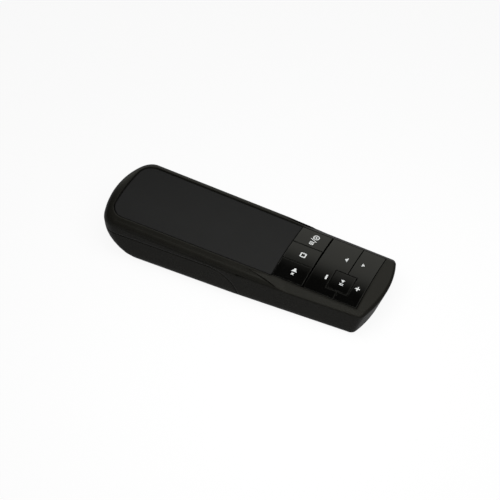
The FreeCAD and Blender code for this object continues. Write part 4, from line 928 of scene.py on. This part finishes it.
# %% Chip leads
def make_lead_tree(material):
    """A row of bent chip leads along X that reach out along Y, with their feet down at Z zero."""
    tree, given, result = new_shape_tree("chip_leads", {
        "Count": 7, "Pitch": 0.8 * MM, "Width": 0.3 * MM, "Reach": 0.9 * MM, "Height": 0.6 * MM,
        "Thick": 0.14 * MM})
    sizes = given.outputs
    half_reach = math_of(tree, "MULTIPLY", sizes["Reach"], 0.5)
    joined = add(tree, "GeometryNodeJoinGeometry")
    bars = ((half_reach, sizes["Thick"], 0.25, 1.0), (sizes["Thick"], sizes["Height"], 0.5, 0.5),
            (half_reach, sizes["Thick"], 0.75, 0.0))
    for depth, height, along, up in bars:
        size = add(tree, "ShaderNodeCombineXYZ")
        for value, axis in ((sizes["Width"], "X"), (depth, "Y"), (height, "Z")):
            wire(tree, value, size.inputs[axis])
        bar = add(tree, "GeometryNodeMeshCube")
        wire(tree, size.outputs[0], bar.inputs["Size"])
        place = add(tree, "ShaderNodeCombineXYZ")
        wire(tree, math_of(tree, "MULTIPLY", sizes["Reach"], along), place.inputs["Y"])
        lifted = math_of(tree, "MULTIPLY_ADD", sizes["Height"], up)
        wire(tree, math_of(tree, "MULTIPLY", sizes["Thick"], 0.5 - up), lifted.node.inputs[2])
        wire(tree, lifted, place.inputs["Z"])
        moved = add(tree, "GeometryNodeTransform")
        wire(tree, bar.outputs["Mesh"], moved.inputs["Geometry"])
        wire(tree, place.outputs[0], moved.inputs["Translation"])
        wire(tree, moved.outputs[0], joined.inputs[0])
    row = add(tree, "GeometryNodeMeshLine")
    step = add(tree, "ShaderNodeCombineXYZ")
    wire(tree, sizes["Pitch"], step.inputs["X"])
    start = add(tree, "ShaderNodeCombineXYZ")
    gaps = math_of(tree, "SUBTRACT", sizes["Count"], 1.0)
    wire(tree, math_of(tree, "MULTIPLY", math_of(tree, "MULTIPLY", gaps, sizes["Pitch"]), -0.5),
         start.inputs["X"])
    wire(tree, sizes["Count"], row.inputs["Count"])
    wire(tree, step.outputs[0], row.inputs["Offset"])
    wire(tree, start.outputs[0], row.inputs["Start Location"])
    repeated = add(tree, "GeometryNodeInstanceOnPoints")
    wire(tree, row.outputs["Mesh"], repeated.inputs["Points"])
    wire(tree, joined.outputs[0], repeated.inputs["Instance"])
    finish_tree(tree, repeated.outputs[0], result, material)
    return tree


def board_frame(along, across, lift):
    """Turns a piece drawn upright into one that hangs under the board at a deck place."""
    turn = Matrix((ALONG, -ACROSS, -OUT)).transposed().to_4x4()
    return Matrix.Translation(on_deck(along, across, lift)) @ turn


LEAD_COUNT = 7
LEAD_HEIGHT_SHARE = 0.6
chip_low, chip_high = deck_box("controller_chip")
board_under = chip_high[2]
chip_tall = chip_high[2] - chip_low[2]
lead_tree = make_lead_tree(FINISHES["steel"])
leads = bmesh.new()
for side in (-1, 1):
    row = grow(lead_tree, Height=LEAD_HEIGHT_SHARE * chip_tall * MM, Count=LEAD_COUNT)
    if side < 0:
        row.transform(Matrix.Rotation(math.pi, 4, "Z"))
    half = (chip_high[1] - chip_low[1]) / 2
    row.transform(board_frame((chip_low[0] + chip_high[0]) / 2, -side * half, board_under))
    leads.from_mesh(row)
chip_leads = piece_from(leads, "chip_leads", FINISHES["steel"])
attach(chip_leads, "housing")
print("chip leads:", len(chip_leads.data.polygons), "faces")

# %% Small board parts
DECK_FRAME = Matrix.Translation(DECK_START) @ Matrix((ALONG, ACROSS, OUT)).transposed().to_4x4()
BOARD_PARTS = [(-7.0, 0.6, 1.6, 0.8, 0.5), (-7.0, -1.2, 1.6, 0.8, 0.5), (-7.0, -3.0, 1.6, 0.8, 0.5),
               (-4.0, -1.3, 2.0, 1.2, 0.8), (-4.0, -3.5, 2.0, 1.2, 0.8), (-4.2, 6.2, 1.6, 0.8, 0.5),
               (-6.8, 6.4, 1.6, 0.8, 0.5), (-11.2, 6.2, 1.6, 0.8, 0.5), (-13.7, 6.2, 1.6, 0.8, 0.5),
               (-16.2, 6.2, 1.6, 0.8, 0.5), (-11.0, -6.4, 1.6, 0.8, 0.5), (-13.7, -6.4, 1.6, 0.8, 0.5),
               (-16.2, -6.4, 1.6, 0.8, 0.5), (-3.9, -6.6, 3.4, 2.4, 1.5)]
CAP_SHARE = 0.22
CERAMIC_SHARE = 0.96
PART_SOFT = 0.04
MARK_INSET = 0.9
MARK_RADIUS = 0.35


def deck_bar(form, middle, size, soft):
    """A soft-edged bar in deck millimetres, added to a bmesh."""
    box_into(form, [(place - span_of / 2) * MM for place, span_of in zip(middle, size)],
             [(place + span_of / 2) * MM for place, span_of in zip(middle, size)], soft * MM)


bodies, caps = bmesh.new(), bmesh.new()
for along, across, length, width, height in BOARD_PARTS:
    lift = board_under - height / 2
    ceramic = (length * (1 - 2 * CAP_SHARE), width * CERAMIC_SHARE, height * CERAMIC_SHARE)
    deck_bar(bodies, (along, across, lift), ceramic, PART_SOFT)
    for end in (-1, 1):
        place = along + end * length * (1 - CAP_SHARE) / 2
        deck_bar(caps, (place, across, lift), (length * CAP_SHARE, width, height), PART_SOFT)
for form, name, finish in ((bodies, "ceramic_parts", "tongue_plastic"), (caps, "tinned_ends", "steel")):
    form.transform(DECK_FRAME)
    part = piece_from(form, name, FINISHES[finish])
    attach(part, "housing")
print("board parts:", len(BOARD_PARTS))

mark_place = on_deck(chip_high[0] - MARK_INSET, chip_high[1] - MARK_INSET, chip_low[2])
pin_mark = Printer([nodes["controller_chip"]], mark_place, ALONG, -ACROSS, -OUT)
pin_mark.plate(round_outline(0, 0, MARK_RADIUS, 16))
pin_mark.done("pin_one_mark", "housing", INK)

# %% [markdown]
# The receiver is pulled out of the rear end by its head. Upright ribs on the head give the nail a grip, and
# inside the metal shell four gilt strips lie on the tongue, the two outer ones longer, as on every plug of
# this kind.

# %% Receiver detail
RIB_COUNT = 9
RIB_PROUD = 0.35
RIB_PITCH = 1.3
RIB_SIZE = (0.9, 0.6, 3.6)
RIB_SOFT = 0.2
PAD_PLACES = (-3.5, -1.0, 1.0, 3.5)
PAD_SIZE = (7.2, 1.05, 0.12)
PAD_SOFT = 0.03
PAD_MARGIN = 0.4
MIDDLE_PADS_SHORTER = 0.9
MIDDLE_PADS_WITHIN = 2
head_low, head_high = deck_box("receiver_head")
ribs = bmesh.new()
for step in range(RIB_COUNT):
    across = (step - (RIB_COUNT - 1) / 2) * RIB_PITCH
    middle = (head_low[0] + RIB_SIZE[0] / 2 - RIB_PROUD, across, (head_low[2] + head_high[2]) / 2)
    deck_bar(ribs, middle, RIB_SIZE, RIB_SOFT)
ribs.transform(DECK_FRAME)
grip_ribs = piece_from(ribs, "grip_ribs", FINISHES["base_plastic"])
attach(grip_ribs, "receiver")

tongue_high = deck_box("plug_tongue")[1]
gilt = metal("gilt", (0.80, 0.60, 0.28), (0.70, 0.52, 0.24), (0.15, 0.28), 2600.0, 0.0005)
pads = bmesh.new()
for across in PAD_PLACES:
    shorter = MIDDLE_PADS_SHORTER if abs(across) < MIDDLE_PADS_WITHIN else 0.0
    length = PAD_SIZE[0] - shorter
    deck_bar(pads, (tongue_high[0] - PAD_MARGIN - shorter - length / 2, across, tongue_high[2]),
             (length, PAD_SIZE[1], PAD_SIZE[2]), PAD_SOFT)
pads.transform(DECK_FRAME)
plug_pads = piece_from(pads, "plug_pads", gilt)
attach(plug_pads, "receiver")
print("receiver detail:", RIB_COUNT, "ribs,", len(PAD_PLACES), "pads")

# %% [markdown]
# In the photograph the bevel beside the keys begins as a thin wedge at the corner of the grip panel. The
# model begins it with a square step. A copy of the housing takes the model's place, and its corners slide
# along the deck: not at all at the bevel's upper edge and furthest at its lower edge, so the step leans into
# a wedge. The slide fades out ahead and behind, and follows the housing as it narrows towards the front. The
# surface faces the same way after the slide as before it, so its shading is kept.

# %% Bevel tip
# Places and lengths are deck millimetres. The last three say how the slide grows with depth, and how much
# the housing narrows and its skin sinks for each millimetre of slide.
STEP_AT = -10.0
UPPER_EDGE, LOWER_EDGE = 17.45, 20.1
SKIN_DEPTH = 4.7
SLIDE = 14.5
SLIDE_FADE = 23.0
SLIDE_CURVE = 0.7
NARROWING = 0.0022
SINKING = 0.0295


def lean_bevel(mesh):
    """Slides the corners around the bevel's step along the deck; says how many were moved."""
    facing = [tuple(corner.vector) for corner in mesh.corner_normals]
    moved = 0
    for vertex in mesh.vertices:
        along, across, lift = [(vertex.co - DECK_START).dot(way) / MM for way in (ALONG, ACROSS, OUT)]
        fade = 1 - abs(along - STEP_AT) / SLIDE_FADE
        deep = min(1.0, (abs(across) - UPPER_EDGE) / (LOWER_EDGE - UPPER_EDGE))
        if fade > 0 and deep > 0 and lift > -SKIN_DEPTH:
            slide = SLIDE * fade * deep ** SLIDE_CURVE
            vertex.co = on_deck(along + slide, across * (1 - NARROWING * slide), lift - SINKING * slide)
            moved += 1
    mesh.normals_split_custom_set(facing)
    return moved


shell_mesh = nodes["upper_housing"].data.copy()
print("housing corners moved:", lean_bevel(shell_mesh))
housing_shell = bpy.data.objects.new("housing_shell", shell_mesh)
scene.collection.objects.link(housing_shell)
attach(housing_shell, "housing")
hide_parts("upper_housing")
